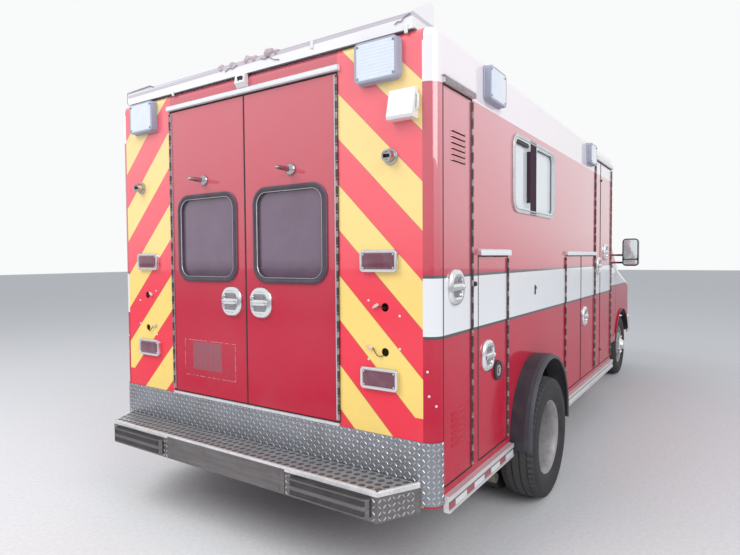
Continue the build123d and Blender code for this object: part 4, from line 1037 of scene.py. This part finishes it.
class AMBULANCE_OT_catches(bpy.types.Operator):
    """Door hold-open catches: flanged cups on the panels and pointed probes on the doors"""
    bl_idname = "ambulance.catches"
    bl_label = "Hold-open catches"

    def execute(self, context):
        for word, side in DOOR_SIDE.items():
            cup = Shape(on_rear(side * 0.922, CATCH_Z))
            cup.turn([(0.0368, 0.0), (0.0368, 0.006), (0.0335, 0.0092), (0.0275, 0.011), (0.0268, 0.036),
                      (0.0258, 0.0405), (0.023, 0.0418), (0.0195, 0.0405), (0.0185, 0.012)], 28, **OPEN)
            for side_v in (-1, 1):
                cup.plate((0.035, 0.0095, 0.003, 2), [(0, 0.026), (0, 0.036), (0.002, 0.0385)],
                          at=(0, side_v * 0.0115))
            cup.piece(f"catch_cup_{word}", "catch_steel", "chrome_fittings")
            plug = Shape(on_rear(side * 0.922, CATCH_Z))
            plug.turn([(0.0183, 0.012), (0.0183, 0.02), (0.012, 0.022)], 20)
            plug.piece(f"catch_plug_{word}", "rubber", "black_rubber")
            probe = Shape(on_rear(side * 0.33, CATCH_Z))
            probe.turn([(0.0315, 0.0), (0.0315, 0.005), (0.03, 0.01), (0.025, 0.015), (0.018, 0.019),
                        (0.013, 0.023), (0.012, 0.06), (0.0105, 0.085), (0.0098, 0.093), (0.008, 0.104),
                        (0.0045, 0.1105), (0.0015, 0.112)], 24, start=False)
            probe.piece(f"catch_probe_{word}", "catch_steel", "chrome_fittings", f"rear_door_{word}")
        return {"FINISHED"}


def lozenges(name, points, rise):
    """Piece of tread plate's raised bars: points are (place, normal, sideways, count for the lean)."""
    shape = Shape()
    for place, normal, side, count in points:
        turn = math.radians(45 if count % 2 else -45)
        up = normal.cross(side).normalized()
        way = (math.cos(turn) * side + math.sin(turn) * up).normalized()
        cross = normal.cross(way)
        ring = [(way * a, cross * b) for a, b in ((0.0105, 0.0), (0.006, 0.0027), (-0.006, 0.0027),
                                                  (-0.0105, 0.0), (-0.006, -0.0027), (0.006, -0.0027))]
        shape.loft([[place + a + b for a, b in ring],
                    [place + a * 0.72 + b * 0.55 + normal * rise for a, b in ring]], start=False)
    shape.piece(name, "lozenge_metal", "diamond_plate")


class AMBULANCE_OT_tread_plate(bpy.types.Operator):
    """Raised lozenges on the kick plate and the outer parts of the step's face"""
    bl_idname = "ambulance.tread_plate"
    bl_label = "Tread plate"

    def execute(self, context):
        h = context.scene.ambulance_hardware
        pitch, rise = h.tread_pitch, h.tread_rise
        aft, up = Vector((-1, 0, 0)), Vector((0, 0, 1))
        points = []
        # Across the kick plate, along its flat face and round its two corners
        radius = 0.069
        flat = HALF + 0.004 - radius
        reach = flat + radius * math.pi / 2 - 0.012
        columns = int(2 * reach / pitch)
        for i in range(columns + 1):
            s = -reach + 2 * reach * i / columns
            sign = math.copysign(1, s)
            angle = max(abs(s) - flat, 0.0) / radius
            normal = Vector((-math.cos(angle), sign * math.sin(angle), 0))
            for j in range(int(0.262 / pitch) + 1):
                z = 0.424 + pitch * j
                if z < 0.515 and abs(s) < 1.07:
                    continue
                if angle == 0.0:
                    place = Vector((REAR - 0.004, s, z))
                else:
                    place = Vector((REAR - 0.004 + radius, sign * flat, z)) + normal * radius
                points.append((place, normal, up.cross(normal), i + j))
        lozenges("kick_plate_lozenges", points, rise)
        points = []
        for side in (RIGHT, LEFT):
            # The step's face clear of its rubber block, then its slanted end
            for i in range(int(0.52 / pitch)):
                y = side * (0.452 + pitch * i)
                for j in range(5):
                    z = 0.392 + pitch * 1.15 * j
                    if not (0.478 < abs(y) < 0.932 and z < 0.484):
                        points.append((Vector((STEP_FACE, y, z)), aft, Vector((0, -1, 0)), i + j))
            slope = Vector((STEP_END[0], side * STEP_END[1], 0)).normalized()
            normal = Vector((-slope.y * side, slope.x * side, 0)).normalized()
            for i in range(int(0.205 / pitch)):
                for j in range(5):
                    corner = Vector((STEP_FACE, side * STEP_HALF, 0.392 + pitch * 1.15 * j))
                    points.append((corner + slope * (0.012 + pitch * i), normal, slope, i + j))
        lozenges("step_lozenges", points, rise)
        return {"FINISHED"}


class AMBULANCE_OT_step(bpy.types.Operator):
    """Punched deck, edge bars, face sheets and rubber blocks of the rear step"""
    bl_idname = "ambulance.step"
    bl_label = "Rear step"

    def execute(self, context):
        h = context.scene.ambulance_hardware
        deck = Shape()
        rows, border = 4, 0.012
        back, front = STEP_FACE + 0.008, REAR - 0.014
        pitch_x = (front - back) / rows
        for row in range(rows):
            mid = back + row * pitch_x + pitch_x / 2
            half = STEP_HALF + STEP_END[1] * (mid - STEP_FACE) / STEP_END[0] - border
            count = int(2 * half / h.step_pitch)
            width = 2 * half / count
            shift = 0.125 * width if row % 2 else -0.125 * width
            for i in range(count):
                y = -half + i * width + width / 2
                hole = [(mid + a, y + shift + b) for a, b in circle(h.step_hole, 16)]
                square = [(mid + pitch_x / 2 * a / max(abs(a), abs(b)),
                           y + width / 2 * b / max(abs(a), abs(b))) for a, b in circle(1, 16)]
                deck.loft([[(*point, STEP_TOP + rise) for point in ring]
                           for ring, rise in ((square, 0.003), (hole, 0.003), (hole, 0.0006))], **OPEN)
        deck.piece("step_deck", "step_sheet", "diamond_plate")
        edges = Shape()
        path = [Vector((x, y, STEP_TOP)) for x, y in ((REAR - 0.008, -1.069), (REAR - 0.196, -STEP_HALF),
                                                      (REAR - 0.196, STEP_HALF), (REAR - 0.008, 1.069))]
        section = ((-0.001, -0.018), (-0.001, 0.001), (0.0015, 0.0036), (0.014, 0.0036), (0.014, 0.001))
        for a, b in zip(path, path[1:]):
            way = (b - a).normalized()
            inward = Vector((way.y, -way.x, 0))
            edges.loft([[p + inward * s + Vector((0, 0, t)) for s, t in section] for p in (a, b)])
        edges.piece("step_edge", "rail_aluminium", "diamond_plate")
        sheet = Shape(on_rear(0, 0.442, 0.195))
        sheet.plate((0.884, 0.122, 0.003, 2), [(0, 0.0), (0, 0.0022), (0.001, 0.003)], start=False)
        for side in (-1, 1):
            for v in (-0.038, 0.03):
                sheet.turn([(0.011, 0.0028), (0.01, 0.0055), (0.006, 0.0075)], 12, (side * 0.4, v))
        sheet.piece("step_face_sheet", "dark_sheet", "diamond_plate")
        for word, side in DOOR_SIDE.items():
            block = Shape()
            section = [(-0.001, -0.041), (0.024, -0.041), (0.0315, -0.033), (0.0315, -0.012),
                       (0.0285, -0.008), (0.0285, 0.006), (0.0315, 0.01), (0.0315, 0.033), (0.024, 0.041),
                       (-0.001, 0.041)]
            loops = [[(STEP_FACE - (s * k if s > 0 else s), side * y, 0.44 + t) for s, t in section]
                     for y, k in ((0.478, 0.15), (0.5, 1.0), (0.91, 1.0), (0.932, 0.15))]
            block.loft(loops)
            block.piece(f"step_rubber_{word}", "rubber", "black_rubber")
        return {"FINISHED"}


class AMBULANCE_OT_wheels(bpy.types.Operator):
    """Treaded tyres and steel rims in place of the plain turned wheels"""
    bl_idname = "ambulance.wheels"
    bl_label = "Wheels"

    def tyre(self, shape, mid, blocks):
        """Tyre with four tread grooves and notched shoulders; mid is its middle plane on the axle frame."""
        half = 0.1115
        # Half section from the bead to the crown: place across, radius, notch depth
        section = [(0.083, 0.2215, 0), (0.092, 0.228, 0), (0.104, 0.25, 0), (0.1105, 0.28, 0),
                   (half, 0.3, 0), (0.11, 0.322, 0), (0.1065, 0.34, 0.001), (0.101, 0.354, 0.007),
                   (0.094, 0.3635, 0.011), (0.07, 0.3695, 0.009), (0.068, 0.3615, 0), (0.062, 0.3615, 0),
                   (0.06, 0.37, 0.003), (0.028, 0.3715, 0.003), (0.026, 0.363, 0), (0.02, 0.363, 0),
                   (0.018, 0.3718, 0)]
        across = [(-a, r, n) for a, r, n in section] + [(a, r, n) for a, r, n in reversed(section)]
        loops = [[(*point, mid + a)
                  for pair in zip(circle(r, blocks * 2)[::2], circle(r - n, blocks * 2)[1::2])
                  for point in pair] for a, r, n in across]
        shape.loft(loops, **OPEN)

    def nuts(self, shape, profile):
        for at in circle(0.104, 8, 0.5):
            shape.turn(profile, 6, at, start=False)

    def execute(self, context):
        blocks = context.scene.ambulance_hardware.tyre_blocks
        outer, front = TYRE_MIDDLES["outer"], TYRE_MIDDLES["front"]
        apart = TYRE_MIDDLES["inner"] - outer
        flange = [(0.222, 0.084), (0.2265, 0.088), (0.224, 0.0905), (0.219, 0.088), (0.212, 0.079)]
        for word, side in DOOR_SIDE.items():
            # Rear pair: the outer wheel's deep dish, the inner wheel's barrel and back
            body = f"rear_wheels_{word}"
            place = on_axle("rear", side, outer)
            tyres = Shape(place)
            self.tyre(tyres, 0.0, blocks)
            self.tyre(tyres, apart, blocks)
            rims = Shape(place)
            rims.turn(flange + [(0.205, 0.072), (0.196, 0.05), (0.191, 0.0), (0.187, -0.06),
                                (0.178, -0.086), (0.16, -0.098), (0.12, -0.104), (0.084, -0.104),
                                (0.082, -0.104)], 64, **OPEN)
            rims.turn([(0.086, -0.105), (0.084, -0.06), (0.078, -0.048), (0.06, -0.042), (0.052, -0.04)],
                      32, start=False)
            rims.turn([(r, w + apart) for r, w in ((0.222, 0.084), (0.206, 0.076), (0.196, 0.02),
                                                   (0.19, -0.06), (0.207, -0.078), (0.222, -0.084))],
                      48, **OPEN)
            rims.turn([(0.222, -0.084), (0.205, -0.079), (0.196, -0.1), (0.15, -0.128), (0.1, -0.128)],
                      48, **OPEN)
            self.nuts(rims, [(0.0125, -0.105), (0.0125, -0.088), (0.0095, -0.082), (0.005, -0.08)])
            for made in (tyres.piece(f"rear_tyres_{word}", "tyre_rubber", "tyre_rubber", body, 24),
                         rims.piece(f"rear_rims_{word}", "rim_paint", "tyre_rubber", body)):
                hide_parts(body)
            # Hand holes as thin black discs on the dish: painted shade seen through the holes
            holes = Shape(place)
            for at in circle(0.139, 8):
                holes.turn([(0.0185, -0.0995), (0.018, -0.0985)], 16, at, start=False)
            holes.turn([(0.006, 0.05), (0.006, 0.062), (0.004, 0.066)], 8, (0.0, 0.188), start=False)
            holes.piece(f"rear_hand_holes_{word}", "black_plastic", "tyre_rubber", body)

            # Front wheel, bowed outwards
            body = f"front_wheel_{word}"
            place = on_axle("front", side, front)
            tyre = Shape(place)
            self.tyre(tyre, 0.0, blocks)
            rim = Shape(place)
            rim.turn(flange + [(0.204, 0.07), (0.196, 0.04), (0.19, 0.028), (0.18, 0.034), (0.164, 0.066),
                               (0.15, 0.09), (0.138, 0.1), (0.086, 0.104), (0.08, 0.104)], 64, **OPEN)
            rim.turn([(0.19, 0.028), (0.19, -0.06), (0.207, -0.078), (0.222, -0.084)], 48, **OPEN)
            rim.turn([(0.18, 0.03), (0.16, 0.055), (0.1, 0.092)], 48, **OPEN)
            for made in (tyre.piece(f"front_tyre_{word}", "tyre_rubber", "tyre_rubber", body, 24),
                         rim.piece(f"front_rim_{word}", "rim_paint", "tyre_rubber", body)):
                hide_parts(body)
            hub = Shape(place)
            hub.turn([(0.086, 0.102), (0.086, 0.112), (0.076, 0.124), (0.062, 0.13), (0.056, 0.146),
                      (0.05, 0.154), (0.03, 0.158)], 36, start=False)
            self.nuts(hub, [(0.0135, 0.101), (0.013, 0.118), (0.0095, 0.126), (0.005, 0.128)])
            hub.piece(f"front_hub_{word}", "chrome", "chrome_fittings", body)
            # Hand holes as thin black discs on the disc: painted shade seen through the holes
            holes = Shape()
            for a, b in circle(1.0, 8):
                tilt = Vector((a * 0.75, b * 0.75, 0.66)).to_track_quat("Z", "Y").to_matrix().to_4x4()
                tilt.translation = (0.157 * a, 0.157 * b, 0.0795)
                holes.place = place @ tilt
                holes.turn([(0.0165, 0.0), (0.016, 0.0012)], 16, start=False)
            holes.piece(f"front_hand_holes_{word}", "black_plastic", "tyre_rubber", body)
        return {"FINISHED"}


class AMBULANCE_OT_rails(bpy.types.Operator):
    """Reflective tape in the rub rails and the rolled lips of the drip rails"""
    bl_idname = "ambulance.rails"
    bl_label = "Rails and tape"

    def execute(self, context):
        tape = Shape()
        for side in (RIGHT, LEFT):
            for back, front in ((0.068, 0.901), (1.791, 3.898)):
                y = side * (HALF + 0.0262)
                loop = [(y, 0.386), (y, 0.422), (y - side * 0.001, 0.422), (y - side * 0.001, 0.386)]
                tape.loft([[(REAR + f, a, b) for a, b in loop] for f in (back, front)])
        tape.piece("rub_rail_tape", "warning_tape", "aluminium_trim")
        lips = Shape()
        for side, back, front, z in [(RIGHT, 0.06, 0.382, 2.252), (RIGHT, 0.448, 0.88, 1.509),
                                     (RIGHT, 2.11, 3.13, 1.509), (RIGHT, 3.136, 3.892, 2.369),
                                     (LEFT, 0.06, 0.567, 2.252), (LEFT, 2.11, 2.867, 1.509),
                                     (LEFT, 3.133, 3.747, 2.369)]:
            section = [(0.0, 0.031), (0.012, 0.031), (0.0205, 0.024), (0.0225, 0.004), (0.0205, -0.001),
                       (0.0175, 0.002), (0.0165, 0.018), (0.0, 0.026)]
            lips.loft([[(REAR + f, side * (HALF + s), z + t) for s, t in section]
                       for f in (back - 0.001, front + 0.001)])
        section = [(0.0, 0.025), (0.012, 0.0255), (0.0185, 0.019), (0.019, 0.004), (0.017, -0.001),
                   (0.0, -0.001)]
        lips.loft([[(REAR - s * k, y, 2.383 + t * k) for s, t in section]
                   for y, k in ((-0.646, 0.2), (-0.64, 1), (0.64, 1), (0.646, 0.2))])
        lips.piece("drip_rail_lips", "lip_paint", "aluminium_trim")
        return {"FINISHED"}


class AMBULANCE_OT_seals(bpy.types.Operator):
    """Dark rubber round the doorways and between leaves that meet"""
    bl_idname = "ambulance.seals"
    bl_label = "Door seals"

    def execute(self, context):
        lips = [(-0.003, 0.0), (-0.003, 0.0018), (0.0022, 0.0018), (0.0022, -0.014)]
        ring = Shape()
        for side, back, front, bottom, top in doorways():
            ring.place = on_side(side, (back + front) / 2, (bottom + top) / 2)
            ring.plate((front - back, top - bottom, 0.004, 2), lips, **OPEN)
        half, low, high = REAR_DOORWAY
        ring.place = on_rear(0, (low + high) / 2)
        ring.plate((2 * half, high - low, 0.004, 2), lips, **OPEN)
        ring.piece("door_seals", "seal_rubber", "black_rubber")
        seams = [(name, on_side(side, front, (bottom + top) / 2), top - bottom)
                 for (name, side, back, front, bottom, top, *rest), after in zip(SIDE_DOORS, SIDE_DOORS[1:])
                 if side == after[1] and front == after[2]]
        seams.append(("rear_door_left", on_rear(0, (low + high) / 2), high - low - 0.012))
        for body, place, height in seams:
            strip = Shape(place)
            section = [(-0.003, -0.012), (-0.003, 0.0), (-0.006, 0.0004), (-0.005, 0.0032),
                       (-0.0005, 0.0036), (0.0014, 0.002), (0.0014, -0.012)]
            strip.loft([[(u * k, v, w) for u, w in section]
                        for v, k in ((-height / 2, 0.6), (0.003 - height / 2, 1), (height / 2 - 0.003, 1),
                                     (height / 2, 0.6))])
            strip.piece(f"seam_strip_{body}", "seal_rubber", "black_rubber", body)
        return {"FINISHED"}


class AMBULANCE_OT_roof_tray(bpy.types.Operator):
    """Clips, edging, wire ends, torn foam and a painted shadow line under the lip of the empty roof tray"""
    bl_idname = "ambulance.roof_tray"
    bl_label = "Roof tray"

    def execute(self, context):
        clips = Shape()
        for y, z, height in ((0.581, 2.48, 0.03), (-0.484, 2.536, 0.046), (-1.008, 2.486, 0.04)):
            clips.place = on_rear(y, z, 0.008)
            clips.plate((0.016, height, 0.004, 3), [(0, -0.001), (0, 0.005), (0.002, 0.007)])
        clips.piece("tray_clips", "white_plastic", "aluminium_trim")
        lines = Shape()
        # Thin dark bar under the lip: a painted shadow line
        lines.bar([(REAR - 0.004, -1.038, 2.482), (REAR - 0.004, 0.0, 2.482), (REAR - 0.004, 1.038, 2.482)],
                  0.0014, 6)
        edge = [(-0.008, 2.492), (-0.008, 2.556), (0.15, 2.644), (0.19, 2.644)]
        lines.bar([(REAR + x, 1.037, z) for x, z in edge], 0.0055, 8)
        for path in ([(-0.95, 2.515), (-0.966, 2.524), (-0.984, 2.521), (-0.999, 2.536), (-1.03, 2.546)],
                     [(-0.141, 2.536), (-0.168, 2.527), (-0.198, 2.533), (-0.228, 2.514), (-0.27, 2.504)],
                     [(0.13, 2.52), (0.094, 2.531), (0.07, 2.524), (0.036, 2.538)]):
            lines.bar([(REAR - 0.0115, y, z) for y, z in path], 0.0022, 6)
        lines.piece("tray_wires_and_shadow_line", "cup_steel", "black_rubber")
        foam = Shape()
        lying = Matrix.Rotation(math.radians(90), 4, "X")
        for y, z, size in ((0.165, 2.546, 0.02), (0.085, 2.549, 0.017), (-0.035, 2.552, 0.024),
                           (-0.085, 2.547, 0.02), (-0.19, 2.556, 0.027), (-0.245, 2.549, 0.018)):
            foam.place = Matrix.Translation((REAR + 0.004, y, z)) @ lying
            foam.turn([(size * 0.4, -size), (size * 0.9, -size * 0.5), (size, 0), (size * 0.8, size * 0.6),
                       (size * 0.3, size)], 12)
        for vert in foam.bm.verts:
            vert.co += Vector(random.uniform(-0.005, 0.005) for axis in range(3))
        foam.piece("tray_foam", "torn_foam", "black_rubber")
        return {"FINISHED"}


class AMBULANCE_OT_rear_details(bpy.types.Operator):
    """Screws and wire ends of the rear panels, the load light's bracket and the lens of the high pod"""
    bl_idname = "ambulance.rear_details"
    bl_label = "Rear details"

    def execute(self, context):
        screws = Shape()
        face = on_rear(0, 0, REAR)     # at the origin
        for side in (RIGHT, LEFT):
            for y, z in ((0.797, 1.303), (0.964, 1.239), (0.964, 1.091), (0.796, 1.031)):
                screws.place = on_rear(side * y, z)
                screws.turn([(0.0058, 0.0), (0.0054, 0.0016), (0.0036, 0.0026)], 12, start=False)
            for angle, z in ((18, 1.003), (24, 0.896), (52, 0.852)):
                spin = Matrix.Rotation(-side * math.radians(angle), 4, "Z")
                screws.place = Matrix.Translation((REAR + 0.065, side * 1.08, z)) @ spin @ face
                screws.turn([(0.0058, 0.0645), (0.0054, 0.0664), (0.0036, 0.0674)], 12, start=False)
        screws.piece("rear_screws", "white_plastic", "chrome_fittings")
        wires, plugs = Shape(), Shape()
        for side in (RIGHT, LEFT):
            for path, plug in (
                ([(0.884, 1.268, 0.014), (0.878, 1.274, -0.008), (0.864, 1.277, -0.01),
                  (0.852, 1.278, -0.007)], (0.842, 1.281, 30)),
                ([(0.884, 1.056, 0.014), (0.868, 1.051, -0.008), (0.852, 1.053, -0.012),
                  (0.84, 1.064, -0.01), (0.828, 1.083, -0.007), (0.818, 1.086, -0.006)],
                 (0.808, 1.087, -20)),
            ):
                wires.bar([(REAR + x, side * y, z) for y, z, x in path], 0.0023, 6)
                y, z, angle = plug
                turn = Matrix.Rotation(math.radians(-side * angle), 4, "Z")
                plugs.place = on_rear(side * y, z, 0.0015) @ turn
                plugs.plate((0.026, 0.014, 0.002, 2), [(0, 0.0), (0, 0.008), (0.002, 0.01)])
                plugs.plate((0.012, 0.009, 0.002, 2), [(0, 0.001), (0, 0.006), (0.002, 0.008)],
                            at=(-0.017, 0))
        wires.piece("rear_wires", "black_plastic", "black_rubber")
        plugs.piece("rear_wire_plugs", "plug_plastic", "black_rubber")
        bracket = Shape()
        bracket.bar([(REAR - 0.022, -1.058, 2.128), (REAR - 0.022, -1.069, 2.136),
                     (REAR - 0.02, -1.071, 2.165), (REAR - 0.017, -1.069, 2.194),
                     (REAR - 0.016, -1.058, 2.203)], 0.006, 10)
        bracket.piece("load_light_bracket", "white_plastic", "clear_lens")
        pod = Shape(on_rear(-0.006, 2.448, 0.0285) @ Matrix.Rotation(math.radians(18), 4, "X"))
        pod.plate((0.036, 0.036, 0.006, 3), [(0, -0.006), (0, 0.003), (0.002, 0.0042), (0.006, 0.0042),
                                             (0.008, 0.002)])
        pod.piece("pod_lens", "black_plastic", "clear_lens")
        return {"FINISHED"}


class AMBULANCE_OT_side_details(bpy.types.Operator):
    """Rubber stops, louvre hoods and the flares' inner lips"""
    bl_idname = "ambulance.side_details"
    bl_label = "Side details"

    def execute(self, context):
        disc = Shape(on_side(RIGHT, 0.712, 0.893))
        disc.turn([(0.0535, 0.0), (0.0535, 0.01), (0.05, 0.0145), (0.036, 0.015), (0.0335, 0.011),
                   (0.017, 0.0105), (0.015, 0.015), (0.006, 0.0165)], 32, start=False)
        disc.piece("door_buffer", "rubber", "black_rubber", "locker_door_low")
        core = Shape(on_side(RIGHT, 0.712, 0.893))
        core.turn([(0.03, 0.01), (0.03, 0.0122), (0.0285, 0.0128), (0.019, 0.0128), (0.0175, 0.0118)],
                  28, **OPEN)
        core.turn([(0.014, 0.014), (0.014, 0.0168), (0.012, 0.0178), (0.005, 0.018)], 20, start=False)
        core.piece("door_buffer_core", "buffer_core", "black_rubber", "locker_door_low")
        stops = Shape()
        stops.place = on_side(RIGHT, 0.396, 1.37)
        stops.turn([(0.0125, 0.0), (0.0125, 0.01), (0.01, 0.017), (0.0045, 0.02)], 16, start=False)
        stops.place = on_side(RIGHT, 1.377, 1.29)
        stops.plate((0.012, 0.06, 0.006, 4), [(0, 0.0), (0, 0.004), (0.002, 0.006)])
        stops.turn([(0.0105, 0.0), (0.0105, 0.007), (0.006, 0.0095)], 14, (0.004, 0.012), start=False)
        stops.piece("side_stops", "rubber", "black_rubber")
        locks = Shape()
        for z in (2.205, 0.62):
            locks.place = on_side(RIGHT, 3.396, z)
            locks.turn([(0.0105, 0.0), (0.0105, 0.006), (0.008, 0.01), (0.003, 0.011)], 16, start=False)
        locks.piece("entry_door_locks", "rubber", "black_rubber", "entry_door")
        hoods = Shape()
        for low in LOUVRE_ROWS:
            section = [(0.015, 0.0003), (0.0135, 0.003), (0.0095, 0.0058), (0.0035, 0.007), (0.0035, 0.006),
                       (0.009, 0.0048), (0.0122, 0.0024), (0.013, 0.0)]
            hoods.place = on_side(RIGHT, 0.2235, low)
            hoods.loft([[(u, v, w * k) for v, w in section]
                        for u, k in ((-0.08, 0.08), (-0.072, 1), (0.072, 1), (0.08, 0.08))])
        hoods.piece("louvre_hoods", "body_paint", "aluminium_trim", "locker_door_tall")
        # The lips' lighter rubber is a painted highlight along the flares' inner edge
        lips = Shape()
        for side in (RIGHT, LEFT):
            y = side * (HALF + 0.1155)
            arc = [(AXLES["rear"] - a, y, ARCH_Z + b) for a, b in circle(FLARE_RADIUS, 80)[:41]]
            lips.bar([(arc[0][0], y, 0.403), *arc, (arc[-1][0], y, 0.403)], 0.0052, 8)
        lips.piece("flare_lips", "lip_highlight_rubber", "black_rubber")
        return {"FINISHED"}


class AMBULANCE_OT_cab(bpy.types.Operator):
    """Mirror panes, head and side lamp lenses, grille surround, wipers and door handles of the cab"""
    bl_idname = "ambulance.cab"
    bl_label = "Cab details"

    def execute(self, context):
        for word, side in DOOR_SIDE.items():
            body = f"cab_door_{word}"
            shell = Shape(on_mirror(side))
            shell.plate((0.17, 0.315, 0.04, 6), [(-0.001, -0.006), (-0.001, 0.003), (0.002, 0.0065),
                                                 (0.009, 0.006), (0.012, 0.0005)], **OPEN)
            shell.plate((0.148, 0.01, 0.002, 2), [(0, 0.0), (0, 0.0042), (0.001, 0.005)], at=(0, -0.0825))
            shell.piece(f"mirror_frame_{word}", "black_plastic", "black_rubber", body)
            panes = Shape(on_mirror(side))
            panes.plate((0.146, 0.222, 0.022, 6), [(0, 0.0005), (0, 0.002), (0.002, 0.003)], at=(0, 0.035))
            panes.plate((0.146, 0.058, 0.022, 6), [(0, 0.0005), (0, 0.002), (0.006, 0.0042),
                                                   (0.014, 0.0055), (0.022, 0.006)], at=(0, -0.113))
            panes.piece(f"mirror_panes_{word}", "mirror_glass", "chrome_fittings", body)
            handle = Shape(on_side(side, 4.17, 1.19, 1.0 - HALF))
            handle.plate((0.15, 0.056, 0.014, 4), [(0, -0.001), (0, 0.005), (0.004, 0.009),
                                                   (0.014, 0.0098)])
            handle.bar([(-0.062, 0.004, 0.006), (-0.058, 0.004, 0.024), (-0.048, 0.004, 0.03),
                        (0.048, 0.004, 0.03), (0.058, 0.004, 0.024), (0.062, 0.004, 0.006)], 0.0075, 10)
            handle.piece(f"cab_handle_{word}", "black_plastic", "black_rubber", body)
            turn = side * math.radians(3.47)
            for part, z, x, height, material in (("head", 0.9475, 3.0969, 0.199, "head_lens"),
                                                 ("side", 0.7975, 3.0929, 0.079, "amber_lens")):
                place = on_nose(side * 0.73, z, x, turn)
                bezel = Shape(place)
                bezel.plate((0.344, height, 0.026, 5), [(-0.002, -0.012), (-0.002, 0.004), (0.002, 0.008),
                                                        (0.009, 0.008), (0.012, 0.003)], **OPEN)
                bezel.piece(f"{part}lamp_bezel_{word}", "chrome", "chrome_fittings")
                lens_piece = Shape(place)
                lens_piece.plate((0.322, height - 0.022, 0.016, 5),
                                 [(0, -0.003), (0, 0.0035), (0.004, 0.0062), (0.018, 0.008)])
                lens_piece.piece(f"{part}lamp_lens_{word}", material, "clear_lens")
        surround = Shape()
        across = [-0.515 + 0.103 * k for k in range(11)]
        ring = [(y, 1.056) for y in across] + [(-y, 0.784) for y in across] + [(across[0], 1.056)]
        surround.bar([(3.101 - 0.0415 * y * y, y, z) for y, z in ring], 0.007, 8)
        surround.piece("grille_surround", "chrome", "chrome_fittings")
        wipers = Shape()

        def on_screen(y, z, out):
            return (2.3535 - 0.157 * y * y - 0.946 * (z - 1.395) + out * 0.726, y, z + out * 0.687)

        for pivot in (0.66, 0.06):
            wipers.bar([on_screen(pivot, 1.372, 0.004), on_screen(pivot, 1.378, 0.03),
                        on_screen(pivot - 0.16, 1.42, 0.034), on_screen(pivot - 0.33, 1.462, 0.02)],
                       0.0062, 8)
            wipers.bar([on_screen(pivot - 0.07 - 0.05 * k, 1.418 + 0.0086 * k, 0.012) for k in range(11)],
                       0.0065, 6)
        wipers.piece("wipers", "black_plastic", "black_rubber")
        return {"FINISHED"}


CLASSES = (
    PaintSettings, HardwareSettings, StageSettings,
    AMBULANCE_OT_stage, AMBULANCE_OT_finishes, AMBULANCE_OT_handles, AMBULANCE_OT_hinges,
    AMBULANCE_OT_rear_windows, AMBULANCE_OT_side_window, AMBULANCE_OT_rear_lamps,
    AMBULANCE_OT_warning_lights, AMBULANCE_OT_catches, AMBULANCE_OT_tread_plate, AMBULANCE_OT_step,
    AMBULANCE_OT_wheels, AMBULANCE_OT_rails, AMBULANCE_OT_seals, AMBULANCE_OT_roof_tray,
    AMBULANCE_OT_rear_details, AMBULANCE_OT_side_details, AMBULANCE_OT_cab,
)
OPERATORS = [cls for cls in CLASSES if issubclass(cls, bpy.types.Operator)]


class AMBULANCE_PT_dressing(bpy.types.Panel):
    """Lists the settings and the operators in the sidebar"""
    bl_label = "Ambulance"
    bl_space_type = "VIEW_3D"
    bl_region_type = "UI"
    bl_category = "Ambulance"

    def draw(self, context):
        for group in (context.scene.ambulance_paint, context.scene.ambulance_hardware,
                      context.scene.ambulance_stage):
            column = self.layout.column()
            for key in group.bl_rna.properties.keys():
                if key not in {"rna_type", "name"}:
                    column.prop(group, key)
        for operator in OPERATORS:
            self.layout.operator(operator.bl_idname)


def register():
    for cls in (*CLASSES, AMBULANCE_PT_dressing):
        bpy.utils.register_class(cls)
    bpy.types.Scene.ambulance_paint = PointerProperty(type=PaintSettings)
    bpy.types.Scene.ambulance_hardware = PointerProperty(type=HardwareSettings)
    bpy.types.Scene.ambulance_stage = PointerProperty(type=StageSettings)


def unregister():
    del bpy.types.Scene.ambulance_paint
    del bpy.types.Scene.ambulance_hardware
    del bpy.types.Scene.ambulance_stage
    for cls in reversed((*CLASSES, AMBULANCE_PT_dressing)):
        bpy.utils.unregister_class(cls)


def main():
    """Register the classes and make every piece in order."""
    register()
    random.seed(SEED)
    for operator in OPERATORS:
        group, name = operator.bl_idname.split(".")
        getattr(getattr(bpy.ops, group), name)()


if __name__ == "__main__":
    main()
